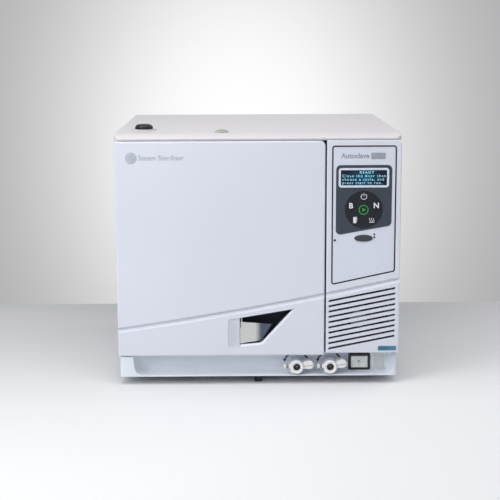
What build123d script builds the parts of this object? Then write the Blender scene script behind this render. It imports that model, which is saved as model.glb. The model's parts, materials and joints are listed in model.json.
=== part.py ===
from build123d import *
import math
import os

# Benchtop autoclave: a steam steriliser cabinet with a side-hinged door, a control fascia and its works.
# Origin at the centre of the footprint on the bench, X to the right, Y to the rear, Z up, millimetres.

# Cabinet
WIDTH = 500.0
DEPTH = 470.0
HEIGHT = 450.0
SHEET = 1.5
WALL = 3.0
LEFT = -WIDTH / 2
RIGHT = WIDTH / 2
FRONT = -DEPTH / 2
REAR = DEPTH / 2
BASE_Z = 15.0
FLOOR_Z = BASE_Z + 2.0
REAR_PANEL_Y = REAR - 5.0
SIDE_FRONT_Y = -173.0
COVER_Z = 438.6
COVER_WALL = 2.5
COVER_ROLL = 22.0
COVER_LIP = 3.0
COVER_CORNER = 12.0
COVER_STEP = 1.2
COVER_STEP_Z = 439.8
COVER_FOOT_Z = 437.6
FRONT_FOOT_Y = -210.0
REAR_FOOT = (212.0, 195.0)
VENT_ROWS = 9
VENTS = ((150.0, 110.0), (-120.0, 150.0))
VENT_Z = 270.0
VENT_PITCH = 12.0
VENT_HEIGHT = 5.0
INLET = (205.0, 90.0)
INLET_WIDTH = 48.0
INLET_HEIGHT = 28.0
FILTER = (60.0, 400.0)
FILTER_R = 22.0

# Door and the works it carries
DOOR_RIGHT = 117.3
DOOR_BOTTOM = 53.5
DOOR_TOP = 437.0
DOOR_BACK_Y = -190.0
DOOR_SKIN = 3.5
DOOR_INNER_PANEL = 2.0
HINGE_X = LEFT + 5.5
HINGE_Y = -183.5
HINGE_PIN_R = 2.5
HINGE_BARREL_R = 4.5
HINGE_RUNNING_GAP = 0.05
HINGE_HEIGHTS = (112.0, 378.0)
HINGE_BARREL_LENGTH = 15.0

# Groove that runs across the door and the fascia
GROOVE_MID_Z = 141.3
GROOVE_SLOPE = 0.18
GROOVE_BEND = 7.5e-5
GROOVE_DEPTH = 4.5
GROOVE_ABOVE = 5.2
GROOVE_BELOW = 5.8

# Handle pocket and handle
POCKET_FLOOR_Y = -205.0
POCKET_WALL = 2.5
POCKET = ((-53.8, 119.4), (66.8, 139.3), (7.0, 73.8), (-53.9, 68.3))
POCKET_BEVEL_SHIFT = (-1.67, 3.36)
POCKET_BEVEL_DEPTH = 3.0
HANDLE_X = -30.0
HANDLE_Y = -229.8
HANDLE_BARREL_R = 3.0
HANDLE_PIN_R = 1.6
HANDLE_PLATE = ((-33.0, 115.3), (32.5, 110.2), (5.2, 81.2), (-33.0, 75.7))
HANDLE_PLATE_THICK = 3.0
HANDLE_BOTTOM = 74.0
HANDLE_TOP = 117.0
HANDLE_BEND_X = -6.5
HANDLE_BEND_R = 16.0
HANDLE_BEND_ANGLE = 60.0
HANDLE_BEND_LEAN = 30.0
HANDLE_TAIL = 16.0
HANDLE_COVER_RIGHT = -33.4
HANDLE_COVER_GAP = 0.15
HANDLE_SWEEP_R = 4.5
LATCH_Z = 96.0

# Control fascia
FASCIA_LEFT = 120.0
FASCIA_BOTTOM = 57.5
FASCIA_TOP = 437.4
FASCIA_FRONT_WALL = 7.0
FASCIA_LOUVRE_WALL = 4.0
INSERT = ((128.6, 428.5), (241.4, 428.5), (241.4, 205.2), (128.6, 181.2))
INSERT_CORNER = 5.0
INSERT_DEPTH = 4.5
GASKET_WIDTH = 2.4
INSERT_FACE_Y = FRONT + 1.2
OVERLAY_FACE_Y = FRONT + 0.6
OVERLAY = ((136.0, 394.2), (233.5, 394.2), (233.5, 287.8), (136.0, 270.6))
OVERLAY_CORNER = 8.0
DISPLAY_X = 184.3
DISPLAY_Z = 372.2
DISPLAY_WIDTH = 80.5
DISPLAY_HEIGHT = 26.7
DISPLAY_RIM = 3.7
DISC_X = 184.7
DISC_Z = 316.0
DISC_R = 33.0
KEY_GAP = 0.3
KEYS = {
    "key_standby": (184.7, 339.2, 6.5),
    "key_program_b": (162.2, 322.6, 7.5),
    "key_program_n": (206.6, 322.8, 7.5),
    "key_start": (184.4, 315.8, 9.0),
    "key_door": (170.0, 297.6, 6.5),
    "key_dry": (199.0, 297.6, 6.5),
}
KEY_REAR_Y = -228.2
BOARD_Y = -222.0
PORT_X = 185.0
PORT_Z = 265.2
PORT_WIDTH = 32.4
PORT_HEIGHT = 12.0
STUDS = ((203.8, 272.2, 1.4), (203.8, 267.0, 1.4), (134.4, 261.8, 1.8))
LOUVRE_COUNT = 10
LOUVRE_PITCH = 9.64
LOUVRE_LEFT = 124.6
LOUVRE_RIGHT = 242.6
LOUVRE_TOP_Z = 152.3
LOUVRE_SLOPE = 0.196
LOUVRE_HEIGHT = 3.9

# Plinth, drain valves and mains switch
PLINTH_TOP = 52.0
PLINTH_FRONT_Y = FRONT + 3.0
SCOOP_DEPTH = 30.0
SCOOP_LEFT = -195.0
SCOOP_RIGHT = 216.0
VALVE_XS = {"clean": 68.7, "used": 128.7}
VALVE_Z = 31.0
VALVE_FRONT_Y = FRONT + 2.0
VALVE_R = 12.2
VALVE_BORE_R = 6.5
VALVE_BORE_DEPTH = 14.0
VALVE_STEM_R = 7.0
VALVE_BOSS_R = 13.0
VALVE_BOSS_Y = -213.5
SPIGOT_R = 3.6
SPIGOT_LENGTH = 22.7
LEVER_RING_R = 10.6
LEVER_LEANS = {"clean": 0.0, "used": 5.0}
LEVER_WING = (
    (7.5, -4.2), (14.0, -3.0), (22.0, -3.9), (27.0, -2.7), (29.8, 0.4), (30.3, 4.2),
    (28.0, 9.2), (23.6, 11.9), (17.0, 10.7), (10.5, 7.2), (7.5, 6.4),
)
LEVER_SLOT = ((11.0, 0.6), (30.8, 2.0), (30.8, 3.2), (11.0, 1.7))
SWITCH_X = 182.3
SWITCH_Z = 35.6
SWITCH_WIDTH = 39.4
SWITCH_HEIGHT = 31.0
SWITCH_OPENING = (30.8, 24.0)
SWITCH_BODY = (33.0, 26.4)
SWITCH_PAD_Y = -209.0
SWITCH_PAD_RIGHT = 230.0
ROCKER_WIDTH = 29.6
ROCKER_HALF = 10.2
ROCKER_PIN_R = 1.5

# Chamber
CHAMBER_X = (LEFT + DOOR_RIGHT) / 2
CHAMBER_Z = 245.0
CHAMBER_R = 122.5
CHAMBER_WALL = 3.0
CHAMBER_MOUTH_Y = -176.0
CHAMBER_STRAIGHT_Y = 138.0
CHAMBER_END_Y = 165.0
FLANGE_R = 150.0
FLANGE_THICK = 12.0
JACKET_INNER_R = 126.0
JACKET_R = 147.0
TRAY_STEPS = (-60.0, -15.0, 30.0)
TRAY_HALF = 92.0
TRAY_FRONT_Y = -155.0
TRAY_REAR_Y = 132.0

# Top fittings
FILLER_X = -203.0
FILLER_Y = -150.0
FILLER_NECK_R = 13.4
FILLER_BORE_R = 11.0
FILLER_FLANGE_R = 21.5
FILLER_CAP_R = 15.4
LEVEL_X = -63.0
LEVEL_Y = -204.0
LEVEL_R = 12.5

# Cooling fan
FAN_X = 178.0
FAN_Z = 118.0
FAN_SIZE = 92.0
FAN_FRONT_Y = -228.0
FAN_DEPTH = 25.0
FAN_BLADES = 7


def block(x0, x1, y0, y1, z0, z1):
    """A block between two opposite corners."""
    return Pos((x0 + x1) / 2, (y0 + y1) / 2, (z0 + z1) / 2) * Box(x1 - x0, y1 - y0, z1 - z0)


def rod_x(y, z, radius, x0, x1):
    """A round bar along X."""
    return Pos((x0 + x1) / 2, y, z) * Rot(0, 90, 0) * Cylinder(radius, x1 - x0)


def rod_y(x, z, radius, y0, y1):
    """A round bar along Y."""
    return Pos(x, (y0 + y1) / 2, z) * Rot(90, 0, 0) * Cylinder(radius, y1 - y0)


def rod_z(x, y, radius, z0, z1):
    """A round bar along Z."""
    return Pos(x, y, (z0 + z1) / 2) * Cylinder(radius, z1 - z0)


def slab(outline, y0, y1):
    """An outline drawn in X and Z, given depth between two Y planes."""
    return extrude(Plane.XZ.offset(-y1) * outline, amount=y1 - y0)


def outline_of(points, radius=0.0, grow=0.0):
    """A closed outline with rounded corners, grown or shrunk by a margin."""
    shape = make_face(Polyline(*points, close=True))
    if radius:
        shape = fillet(shape.vertices(), radius)
    if grow:
        shape = offset(shape, amount=grow, kind=Kind.INTERSECTION)
    return shape


def oval(x, z, width, height):
    """A long round-ended outline."""
    return Pos(x, z) * SlotOverall(width, height)


def inlet_block(width, height, y0, y1):
    """A block round the mains inlet's centre."""
    x, z = INLET
    return block(x - width / 2, x + width / 2, y0, y1, z - height / 2, z + height / 2)


def switch_block(width, height, y0, y1):
    """A block round the mains switch's centre."""
    half, tall = width / 2, height / 2
    return block(SWITCH_X - half, SWITCH_X + half, y0, y1, SWITCH_Z - tall, SWITCH_Z + tall)


def groove_z(x):
    """Height of the groove's centre line at a given place across the front."""
    return GROOVE_MID_Z + GROOVE_SLOPE * x + GROOVE_BEND * x * x


def groove_tool():
    """The V-shaped solid that cuts the groove across the whole front."""
    ends = LEFT - WALL, RIGHT + WALL
    path = ThreePointArc(
        (ends[0], FRONT, groove_z(ends[0])),
        (0, FRONT, groove_z(0)),
        (ends[1], FRONT, groove_z(ends[1])),
    )
    section = make_face(
        Polyline((0.5, -GROOVE_ABOVE), (-GROOVE_DEPTH, -1.5), (0.5, GROOVE_BELOW), close=True)
    )
    start = Plane(origin=path @ 0, x_dir=(0, -1, 0), z_dir=path % 0)
    return sweep(start * section, path=path)


def cabinet_parts():
    """Base tray, covers, rear panel, bulkhead, door surround and feet."""
    inner = RIGHT - 4.0
    tray = block(-inner, inner, CHAMBER_MOUTH_Y, REAR_PANEL_Y - 2, BASE_Z, FLOOR_Z)
    for side in (-1, 1):
        x0, x1 = sorted((side * inner, side * (inner - 2)))
        tray += block(x0, x1, SIDE_FRONT_Y + SHEET, REAR_PANEL_Y - 2, BASE_Z, BASE_Z + 28)
    tray += block(-inner, inner, REAR_PANEL_Y - 4, REAR_PANEL_Y - 2, BASE_Z, BASE_Z + 28)
    for y in (-105.0, 85.0):
        saddle = block(CHAMBER_X - 36, CHAMBER_X + 36, y, y + 20, FLOOR_Z, CHAMBER_Z - 130)
        tray += saddle - rod_y(CHAMBER_X, CHAMBER_Z, JACKET_R, y - 1, y + 21)

    covers = {}
    for name, side in (("left_side_cover", -1), ("right_side_cover", 1)):
        outer, skin, flange = side * RIGHT, side * (RIGHT - SHEET), side * (RIGHT - 14)
        x0, x1 = sorted((outer, skin))
        panel = block(x0, x1, SIDE_FRONT_Y, REAR_PANEL_Y, FLOOR_Z, COVER_Z)
        x0, x1 = sorted((outer, flange if side > 0 else side * (RIGHT - 4)))
        panel += block(x0, x1, SIDE_FRONT_Y, SIDE_FRONT_Y + SHEET, FLOOR_Z, COVER_Z)
        covers[name] = panel

    drop = HEIGHT - COVER_Z - COVER_LIP
    roll_r = (COVER_ROLL**2 + drop**2) / (2 * drop)
    turn = math.asin(COVER_ROLL / roll_r) / 2
    nose = FRONT + 1.0
    flat_from = nose + COVER_ROLL
    roll = ThreePointArc(
        (nose, COVER_Z + COVER_LIP),
        (flat_from - roll_r * math.sin(turn), HEIGHT - roll_r * (1 - math.cos(turn))),
        (flat_from, HEIGHT),
    )
    rim = Polyline(
        (flat_from, HEIGHT), (REAR_PANEL_Y, HEIGHT), (REAR_PANEL_Y, COVER_Z), (flat_from, COVER_Z),
        (flat_from, COVER_FOOT_Z), (nose + COVER_STEP, COVER_FOOT_Z), (nose + COVER_STEP, COVER_STEP_Z),
        (nose, COVER_STEP_Z), (nose, COVER_Z + COVER_LIP),
    )
    cover = extrude(Plane.YZ * make_face(roll + rim), amount=RIGHT, both=True)
    plan = Pos(0, (nose + REAR_PANEL_Y) / 2) * Rectangle(WIDTH, REAR_PANEL_Y - nose)
    plan = fillet(plan.vertices().sort_by(Axis.Y)[:2], COVER_CORNER)
    cover = cover & extrude(Pos(0, 0, COVER_FOOT_Z - 1) * plan, amount=HEIGHT - COVER_FOOT_Z + 2)
    side_edges = cover.edges().filter_by(Axis.Y).filter_by(lambda e: e.center().Z > HEIGHT - 0.1)
    cover = fillet(side_edges, 3.0)
    x0, x1, back = LEFT + COVER_WALL, RIGHT - COVER_WALL, REAR_PANEL_Y - COVER_WALL
    cover -= block(x0, x1, flat_from, back, COVER_Z, HEIGHT - COVER_WALL)
    cover -= rod_z(FILLER_X, FILLER_Y, FILLER_NECK_R + 1.0, COVER_Z, HEIGHT + 1)
    cover -= rod_z(LEVEL_X, LEVEL_Y, LEVEL_R - 1.5, HEIGHT - 2, HEIGHT + 1)

    rear = block(LEFT + SHEET, RIGHT - SHEET, REAR_PANEL_Y - 2, REAR_PANEL_Y, FLOOR_Z, COVER_Z)
    for row in range(VENT_ROWS):
        for x, width in VENTS:
            vent = oval(x, VENT_Z + row * VENT_PITCH, width, VENT_HEIGHT)
            rear -= slab(vent, REAR_PANEL_Y - 3, REAR_PANEL_Y + 1)
    rear -= inlet_block(INLET_WIDTH, INLET_HEIGHT, REAR_PANEL_Y - 3, REAR_PANEL_Y + 1)
    rear -= rod_y(*FILTER, FILTER_R, REAR_PANEL_Y - 3, REAR_PANEL_Y + 1)

    bulkhead = block(LEFT + 4, DOOR_RIGHT, CHAMBER_MOUTH_Y, SIDE_FRONT_Y, FLOOR_Z, DOOR_TOP)
    bulkhead -= rod_y(CHAMBER_X, CHAMBER_Z, FLANGE_R - 7, CHAMBER_MOUTH_Y - 1, SIDE_FRONT_Y + 1)
    bulkhead -= rod_y(VALVE_XS["clean"], VALVE_Z, 5, CHAMBER_MOUTH_Y - 1, SIDE_FRONT_Y + 1)

    x0, x1, z0, z1, face = LEFT + 26, DOOR_RIGHT, DOOR_BOTTOM + 2.5, DOOR_TOP - 2, DOOR_BACK_Y + 2
    surround = block(x0, x1, face, CHAMBER_MOUTH_Y, z0, z1)
    surround -= block(x0 + WALL, x1 - WALL, face + WALL, CHAMBER_MOUTH_Y, z0 + WALL, z1 - WALL)
    surround += rod_y(CHAMBER_X, CHAMBER_Z, 140, face, CHAMBER_MOUTH_Y)
    surround -= rod_y(CHAMBER_X, CHAMBER_Z, 137, face - 1, CHAMBER_MOUTH_Y + 1)

    peg = rod_z(0, FRONT_FOOT_Y, 4, BASE_Z, BASE_Z + 2)
    feet = [Pos(0, FRONT_FOOT_Y, BASE_Z / 2) * Cone(6.75, 8.5, BASE_Z) + peg]
    x, y = REAR_FOOT
    feet += [Pos(side * x, y, BASE_Z / 2) * Cone(13, 15, BASE_Z) for side in (-1, 1)]
    return {
        "base_tray": tray,
        **covers,
        "top_cover": cover,
        "rear_panel": rear,
        "front_bulkhead": bulkhead,
        "door_surround": surround,
        "feet": Compound(feet),
    }


def plinth_part():
    """Moulded front plinth with the scooped recess that holds the drain valves and the switch."""
    plinth = block(LEFT + 2, RIGHT - 2, PLINTH_FRONT_Y, CHAMBER_MOUTH_Y, BASE_Z, PLINTH_TOP)
    plinth = fillet(plinth.edges().filter_by(Axis.Z).sort_by(Axis.Y)[:2], 8)
    lip = 1.5
    wall_foot = SCOOP_DEPTH - WALL
    lip_edge, lip_back = (0, BASE_Z + lip), (wall_foot - 12, BASE_Z + 2.6)
    bend = (wall_foot, VALVE_Z - 1), (wall_foot - 3.8, VALVE_Z - 8.7), lip_back
    edges = Polyline(lip_edge, (0, PLINTH_TOP + 1), (SCOOP_DEPTH, PLINTH_TOP + 1), bend[0])
    section = make_face(edges + ThreePointArc(*bend) + Line(lip_back, lip_edge))
    across = Plane(origin=(SCOOP_LEFT, PLINTH_FRONT_Y, 0), x_dir=(0, 1, 0), z_dir=(1, 0, 0))
    scoop = extrude(across * section, amount=SCOOP_RIGHT - SCOOP_LEFT)
    for x, start in ((SCOOP_LEFT, 90), (SCOOP_RIGHT, 0)):
        stand = Plane(origin=(0, 0, 0), x_dir=(1, 0, 0), z_dir=(0, -1, 0))
        end = revolve(stand * section, axis=Axis.Z, revolution_arc=90)
        scoop += Pos(x, PLINTH_FRONT_Y, 0) * Rot(0, 0, start) * end
    plinth -= scoop
    cavity_y = PLINTH_FRONT_Y + SCOOP_DEPTH + WALL
    plinth -= block(LEFT + 6, RIGHT - 6, cavity_y, CHAMBER_MOUTH_Y + 1, BASE_Z + WALL, PLINTH_TOP - WALL)
    for x in VALVE_XS.values():
        plinth += rod_y(x, VALVE_Z, VALVE_BOSS_R, VALVE_BOSS_Y, cavity_y)
        plinth -= rod_y(x, VALVE_Z, VALVE_STEM_R, VALVE_BOSS_Y - 1, CHAMBER_MOUTH_Y + 1)
    pad_left = SWITCH_X - SWITCH_WIDTH / 2 - 2
    switch_foot = SWITCH_Z - SWITCH_HEIGHT / 2
    plinth += block(pad_left, SWITCH_PAD_RIGHT, SWITCH_PAD_Y, cavity_y, BASE_Z + 2, PLINTH_TOP)
    plinth -= block(pad_left, SWITCH_PAD_RIGHT, SWITCH_PAD_Y - 8, SWITCH_PAD_Y, switch_foot, PLINTH_TOP + 1)
    plinth -= switch_block(*SWITCH_BODY, SWITCH_PAD_Y - 1, CHAMBER_MOUTH_Y - 9)
    plinth -= rod_z(0, FRONT_FOOT_Y, 4.1, BASE_Z - 1, BASE_Z + 2)
    return {"front_plinth": plinth}


def valve_parts():
    """Drain valves with their blind bore, side spigot and winged lever."""
    ring_back = VALVE_FRONT_Y + 11
    lever_front, lever_rear = ring_back + 0.4, VALVE_BOSS_Y - 0.4
    bodies = []
    levers = {}
    for name, x in VALVE_XS.items():
        body = rod_y(x, VALVE_Z, VALVE_R, VALVE_FRONT_Y, ring_back)
        body += rod_y(x - 7, VALVE_Z - 7.2, 4.6, VALVE_FRONT_Y + 3, ring_back)
        body += rod_y(x, VALVE_Z, VALVE_STEM_R, ring_back, CHAMBER_MOUTH_Y - 10)
        body += rod_x(VALVE_FRONT_Y + 5.5, VALVE_Z + 0.6, SPIGOT_R, x - SPIGOT_LENGTH, x)
        body -= rod_y(x, VALVE_Z, VALVE_BORE_R, VALVE_FRONT_Y - 1, VALVE_FRONT_Y + VALVE_BORE_DEPTH)
        bodies.append(body)
        wing = slab(outline_of(LEVER_WING, 1.6), VALVE_FRONT_Y + 1.5, lever_rear)
        wing -= slab(outline_of(LEVER_SLOT), VALVE_FRONT_Y, VALVE_FRONT_Y + 4.5)
        wing -= rod_y(0, 0, VALVE_R + 0.5, VALVE_FRONT_Y, lever_front)
        wing = Pos(x, 0, VALVE_Z) * Rot(0, -LEVER_LEANS[name], 0) * wing
        lever = rod_y(x, VALVE_Z, LEVER_RING_R, lever_front, lever_rear) + wing
        lever -= rod_y(x, VALVE_Z, VALVE_STEM_R + 0.06, lever_front - 1, lever_rear + 1)
        levers[f"{name}_drain_lever"] = lever
    return {"drain_valves": Compound(bodies), **levers}


def switch_parts():
    """Mains switch bezel and its rocker, which tilts on two small pins."""
    front = SWITCH_PAD_Y - 4
    bezel = switch_block(SWITCH_WIDTH, SWITCH_HEIGHT, front, SWITCH_PAD_Y)
    bezel = fillet(bezel.edges().filter_by(Axis.Y), 3)
    bezel = chamfer(bezel.faces().sort_by(Axis.Y)[0].outer_wire().edges(), 1)
    bezel += switch_block(*SWITCH_BODY, SWITCH_PAD_Y, SWITCH_PAD_Y + 22)
    bezel -= switch_block(*SWITCH_OPENING, front - 1, SWITCH_PAD_Y + 8)
    pivot_y = SWITCH_PAD_Y + 1
    reach = SWITCH_OPENING[0] / 2 + 0.5
    bezel -= rod_x(pivot_y, SWITCH_Z, ROCKER_PIN_R + 0.05, SWITCH_X - reach - 0.1, SWITCH_X + reach + 0.1)
    low, high = SWITCH_Z - ROCKER_HALF, SWITCH_Z + ROCKER_HALF
    profile = Polyline(
        (front + 1, low), (front - 3, low), (front, SWITCH_Z), (front - 0.5, high), (front + 3, high),
        (SWITCH_PAD_Y + 4, SWITCH_Z), close=True,
    )
    across = Plane(origin=(SWITCH_X - ROCKER_WIDTH / 2, 0, 0), x_dir=(0, 1, 0), z_dir=(1, 0, 0))
    rocker = extrude(across * make_face(profile), amount=ROCKER_WIDTH)
    rocker += rod_x(pivot_y, SWITCH_Z, ROCKER_PIN_R, SWITCH_X - reach, SWITCH_X + reach)
    return {"switch_bezel": bezel, "switch_rocker": rocker}


def display_block(margin, y0, y1):
    """A block round the display's centre, larger than its glass by a margin."""
    half, tall = DISPLAY_WIDTH / 2 + margin, DISPLAY_HEIGHT / 2 + margin
    return block(DISPLAY_X - half, DISPLAY_X + half, y0, y1, DISPLAY_Z - tall, DISPLAY_Z + tall)


def fascia_parts(groove):
    """Control fascia with its louvres, insert panel, gasket, overlay, display and keys."""
    shell = block(FASCIA_LEFT, RIGHT, FRONT, SIDE_FRONT_Y, FASCIA_BOTTOM, FASCIA_TOP)
    corner = shell.edges().filter_by(Axis.Y).sort_by(lambda e: e.center().X + e.center().Z)[-1]
    shell = fillet(corner, 8)
    shell = fillet(shell.faces().sort_by(Axis.Y)[0].outer_wire().edges(), 2)
    shell -= block(
        FASCIA_LEFT + WALL, RIGHT - WALL, FRONT + FASCIA_FRONT_WALL, SIDE_FRONT_Y + 1,
        FASCIA_BOTTOM + WALL, FASCIA_TOP - WALL,
    )
    x0, x1, z0 = FASCIA_LEFT + WALL, RIGHT - WALL, FASCIA_BOTTOM + WALL
    louvre_top = LOUVRE_TOP_Z + 4
    thin = ((x0, z0), (x1, z0), (x1, louvre_top + LOUVRE_SLOPE * (RIGHT - FASCIA_LEFT)), (x0, louvre_top))
    shell -= slab(outline_of(thin), FRONT + FASCIA_LOUVRE_WALL, FRONT + FASCIA_FRONT_WALL)
    rise = LOUVRE_SLOPE * (LOUVRE_RIGHT - LOUVRE_LEFT)
    half = LOUVRE_HEIGHT / 2
    for row in range(LOUVRE_COUNT):
        z = LOUVRE_TOP_Z - row * LOUVRE_PITCH
        low = (LOUVRE_LEFT, z - half), (LOUVRE_RIGHT, z + rise - half)
        high = (LOUVRE_RIGHT, z + rise + half), (LOUVRE_LEFT, z + half)
        shell -= slab(outline_of((*low, *high), 1.2), FRONT - 1, FRONT + FASCIA_LOUVRE_WALL + 1)
    shell -= groove
    recess = outline_of(INSERT, INSERT_CORNER)
    shell -= slab(recess, FRONT - 1, FRONT + INSERT_DEPTH)
    shell -= display_block(3, FRONT, FRONT + FASCIA_FRONT_WALL + 1)
    port = Pos(PORT_X, PORT_Z)
    port_hole = Ellipse(PORT_WIDTH / 2 - 2, PORT_HEIGHT / 2 - 1.4)
    port_hole = slab(port * port_hole, FRONT, FRONT + FASCIA_FRONT_WALL + 1)
    shell -= port_hole
    for x, z in ((130, 262), (238, 262), (130, 396), (238, 396)):
        shell += rod_y(x, z, 3, FRONT + FASCIA_FRONT_WALL, BOARD_Y)
    shell -= rod_x(-206, CHAMBER_Z, 4.5, FASCIA_LEFT - 1, FASCIA_LEFT + WALL + 1)

    panel = slab(outline_of(INSERT, INSERT_CORNER, -GASKET_WIDTH), INSERT_FACE_Y, FRONT + INSERT_DEPTH)
    gasket = slab(recess, FRONT + 0.8, FRONT + INSERT_DEPTH)
    gasket -= slab(outline_of(INSERT, INSERT_CORNER, -GASKET_WIDTH), FRONT, FRONT + INSERT_DEPTH + 1)
    overlay = slab(outline_of(OVERLAY, OVERLAY_CORNER), OVERLAY_FACE_Y, INSERT_FACE_Y)
    display = Pos(DISPLAY_X, DISPLAY_Z)
    glass = display * RectangleRounded(DISPLAY_WIDTH, DISPLAY_HEIGHT, 1.5)
    window = slab(glass, FRONT + 0.2, FRONT + INSERT_DEPTH)
    rim = display * RectangleRounded(DISPLAY_WIDTH + 2 * DISPLAY_RIM, DISPLAY_HEIGHT + 2 * DISPLAY_RIM, 5)
    frame = slab(rim, FRONT, OVERLAY_FACE_Y) - slab(glass, FRONT - 1, OVERLAY_FACE_Y + 1)
    disc = rod_y(DISC_X, DISC_Z, DISC_R, FRONT, OVERLAY_FACE_Y)
    panel -= window
    overlay -= window
    panel -= port_hole
    keys = {}
    for name, (x, z, radius) in KEYS.items():
        hole = rod_y(x, z, radius + KEY_GAP, FRONT - 1, KEY_REAR_Y + 1)
        shell -= hole
        panel -= hole
        overlay -= hole
        disc -= hole
        key = rod_y(x, z, radius, FRONT, KEY_REAR_Y)
        keys[name] = fillet(key.faces().sort_by(Axis.Y)[0].edges(), 0.3)
    cap = slab(port * Ellipse(PORT_WIDTH / 2, PORT_HEIGHT / 2), FRONT, INSERT_FACE_Y)
    cap += slab(port * Ellipse(PORT_WIDTH / 2 - 2.3, PORT_HEIGHT / 2 - 1.7), INSERT_FACE_Y, FRONT + 6)
    return {
        "control_fascia": shell,
        "fascia_insert": panel,
        "insert_gasket": gasket,
        "panel_overlay": overlay,
        "display_frame": frame,
        "display_window": window,
        "key_disc": disc,
        "data_port_cover": cap,
        **keys,
    }


def electronics_parts():
    """Circuit boards, display module, data socket, door lock, fan and mains inlet."""
    board = block(127, 243, BOARD_Y, BOARD_Y + 1.6, 258, 400)
    board += display_block(2, FRONT + INSERT_DEPTH, BOARD_Y)
    for x, z, _ in KEYS.values():
        board += block(x - 3, x + 3, KEY_REAR_Y + 1.2, BOARD_Y, z - 3, z + 3)
    socket = block(PORT_X - 7.2, PORT_X + 7.2, FRONT + 7.2, BOARD_Y, PORT_Z - 3.4, PORT_Z + 3.4)
    socket -= block(PORT_X - 6.2, PORT_X + 6.2, FRONT + 7, BOARD_Y - 1, PORT_Z - 2.4, PORT_Z + 0.4)
    board += socket
    main = block(236, 237.6, -110, 150, 190, 420)
    for row in range(5):
        main += block(216, 236, -95 + row * 34, -75 + row * 34, 215, 240)
    for row in range(3):
        main += rod_x(-60 + row * 60, 330, 14, 212, 236)
    main += block(206, 236, -30, 40, 370, 405)
    for y, z in ((-100, 195), (130, 405)):
        main += block(237.6, RIGHT - SHEET, y, y + 10, z, z + 10)
    actuator = block(FASCIA_LEFT + WALL, 134, -219, -193, 231, 256.5)
    actuator += block(134, 176, -217, -195, 234, 256)
    actuator -= rod_x(-206, CHAMBER_Z, 4.1, FASCIA_LEFT, 160)
    bolt = rod_x(-206, CHAMBER_Z, 4.0, FASCIA_LEFT + 0.5, 145)
    bolt = chamfer(bolt.faces().sort_by(Axis.X)[0].edges(), 1)

    half = FAN_SIZE / 2
    rear_y = FAN_FRONT_Y + FAN_DEPTH
    frame = block(FAN_X - half, FAN_X + half, FAN_FRONT_Y, rear_y, FAN_Z - half, FAN_Z + half)
    frame = fillet(frame.edges().filter_by(Axis.Y), 5)
    frame -= rod_y(FAN_X, FAN_Z, half - 3, FAN_FRONT_Y - 1, rear_y + 1)
    for arm in range(3):
        spoke = block(0, half - 2, rear_y - 3, rear_y, -2, 2)
        frame += Pos(FAN_X, 0, FAN_Z) * Rot(0, arm * 120 + 30, 0) * spoke
    frame += rod_y(FAN_X, FAN_Z, 18, rear_y - 3, rear_y)
    frame -= rod_y(FAN_X, FAN_Z, 3.05, rear_y - 4, rear_y + 1)
    rotor = rod_y(FAN_X, FAN_Z, 17, FAN_FRONT_Y + 2, rear_y - 4)
    rotor += rod_y(FAN_X, FAN_Z, 3, rear_y - 4, rear_y)
    for blade in range(FAN_BLADES):
        vane = Pos(28, (FAN_FRONT_Y + rear_y) / 2 - 1, 0) * Rot(38, 0, 0) * Box(26, 1.6, 20)
        rotor += Pos(FAN_X, 0, FAN_Z) * Rot(0, blade * 360 / FAN_BLADES, 0) * vane

    inlet = inlet_block(INLET_WIDTH, INLET_HEIGHT, REAR_PANEL_Y - 30, REAR_PANEL_Y)
    inlet += inlet_block(INLET_WIDTH + 12, INLET_HEIGHT + 8, REAR_PANEL_Y, REAR_PANEL_Y + 3)
    inlet -= inlet_block(INLET_WIDTH - 10, INLET_HEIGHT - 6, REAR_PANEL_Y - 14, REAR_PANEL_Y + 4)
    for offset_x in (-12, 0, 12):
        inlet += Pos(offset_x, 0, 0) * inlet_block(2, 6, REAR_PANEL_Y - 14, REAR_PANEL_Y - 2)
    return {
        "circuit_boards": Compound([board, main]),
        "lock_actuator": actuator,
        "lock_bolt": bolt,
        "fan_frame": frame,
        "fan_rotor": rotor,
        "mains_inlet": inlet,
    }


def groove_band(margin):
    """The outline of a band that follows the groove, with a margin above and below it."""
    edges = [
        ThreePointArc(*[(x, groove_z(x) + side * margin) for x in (LEFT, 0, RIGHT)]) for side in (-1, 1)
    ]
    edges += [Line((x, groove_z(x) - margin), (x, groove_z(x) + margin)) for x in (LEFT, RIGHT)]
    return make_face(edges)


def pocket_outline():
    """The handle pocket's outline on the front, with its rounded corners."""
    pocket = outline_of(POCKET)
    corners = pocket.vertices().sort_by(Axis.X)
    pocket = fillet([corners[0], corners[1]], 4)
    low_x, low_z = POCKET[2]
    return fillet(pocket.vertices().sort_by(lambda v: abs(v.X - low_x) + abs(v.Y - low_z))[0], 9)


def pocket_cut(pocket):
    """The pocket's hollow, with a bevel along its lower and right edges."""
    shift_x, shift_z = POCKET_BEVEL_SHIFT
    under_cover = Pos(HANDLE_COVER_RIGHT + 0.2 - 30, 95) * Rectangle(60, 80)
    inner = (pocket & (Pos(shift_x, shift_z) * pocket)) + (pocket & under_cover)
    start = 0.5 / POCKET_BEVEL_DEPTH
    mouth = Plane.XZ.offset(-FRONT + 0.5) * (Pos(-shift_x * start, -shift_z * start) * pocket)
    way = Vector(shift_x, POCKET_BEVEL_DEPTH, shift_z)
    bevel = extrude(mouth, amount=way.length * (1 + start), dir=way)
    straight = slab(pocket, FRONT - 0.5, FRONT + POCKET_BEVEL_DEPTH)
    return slab(inner, FRONT - 1, POCKET_FLOOR_Y) + (bevel & straight)


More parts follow.
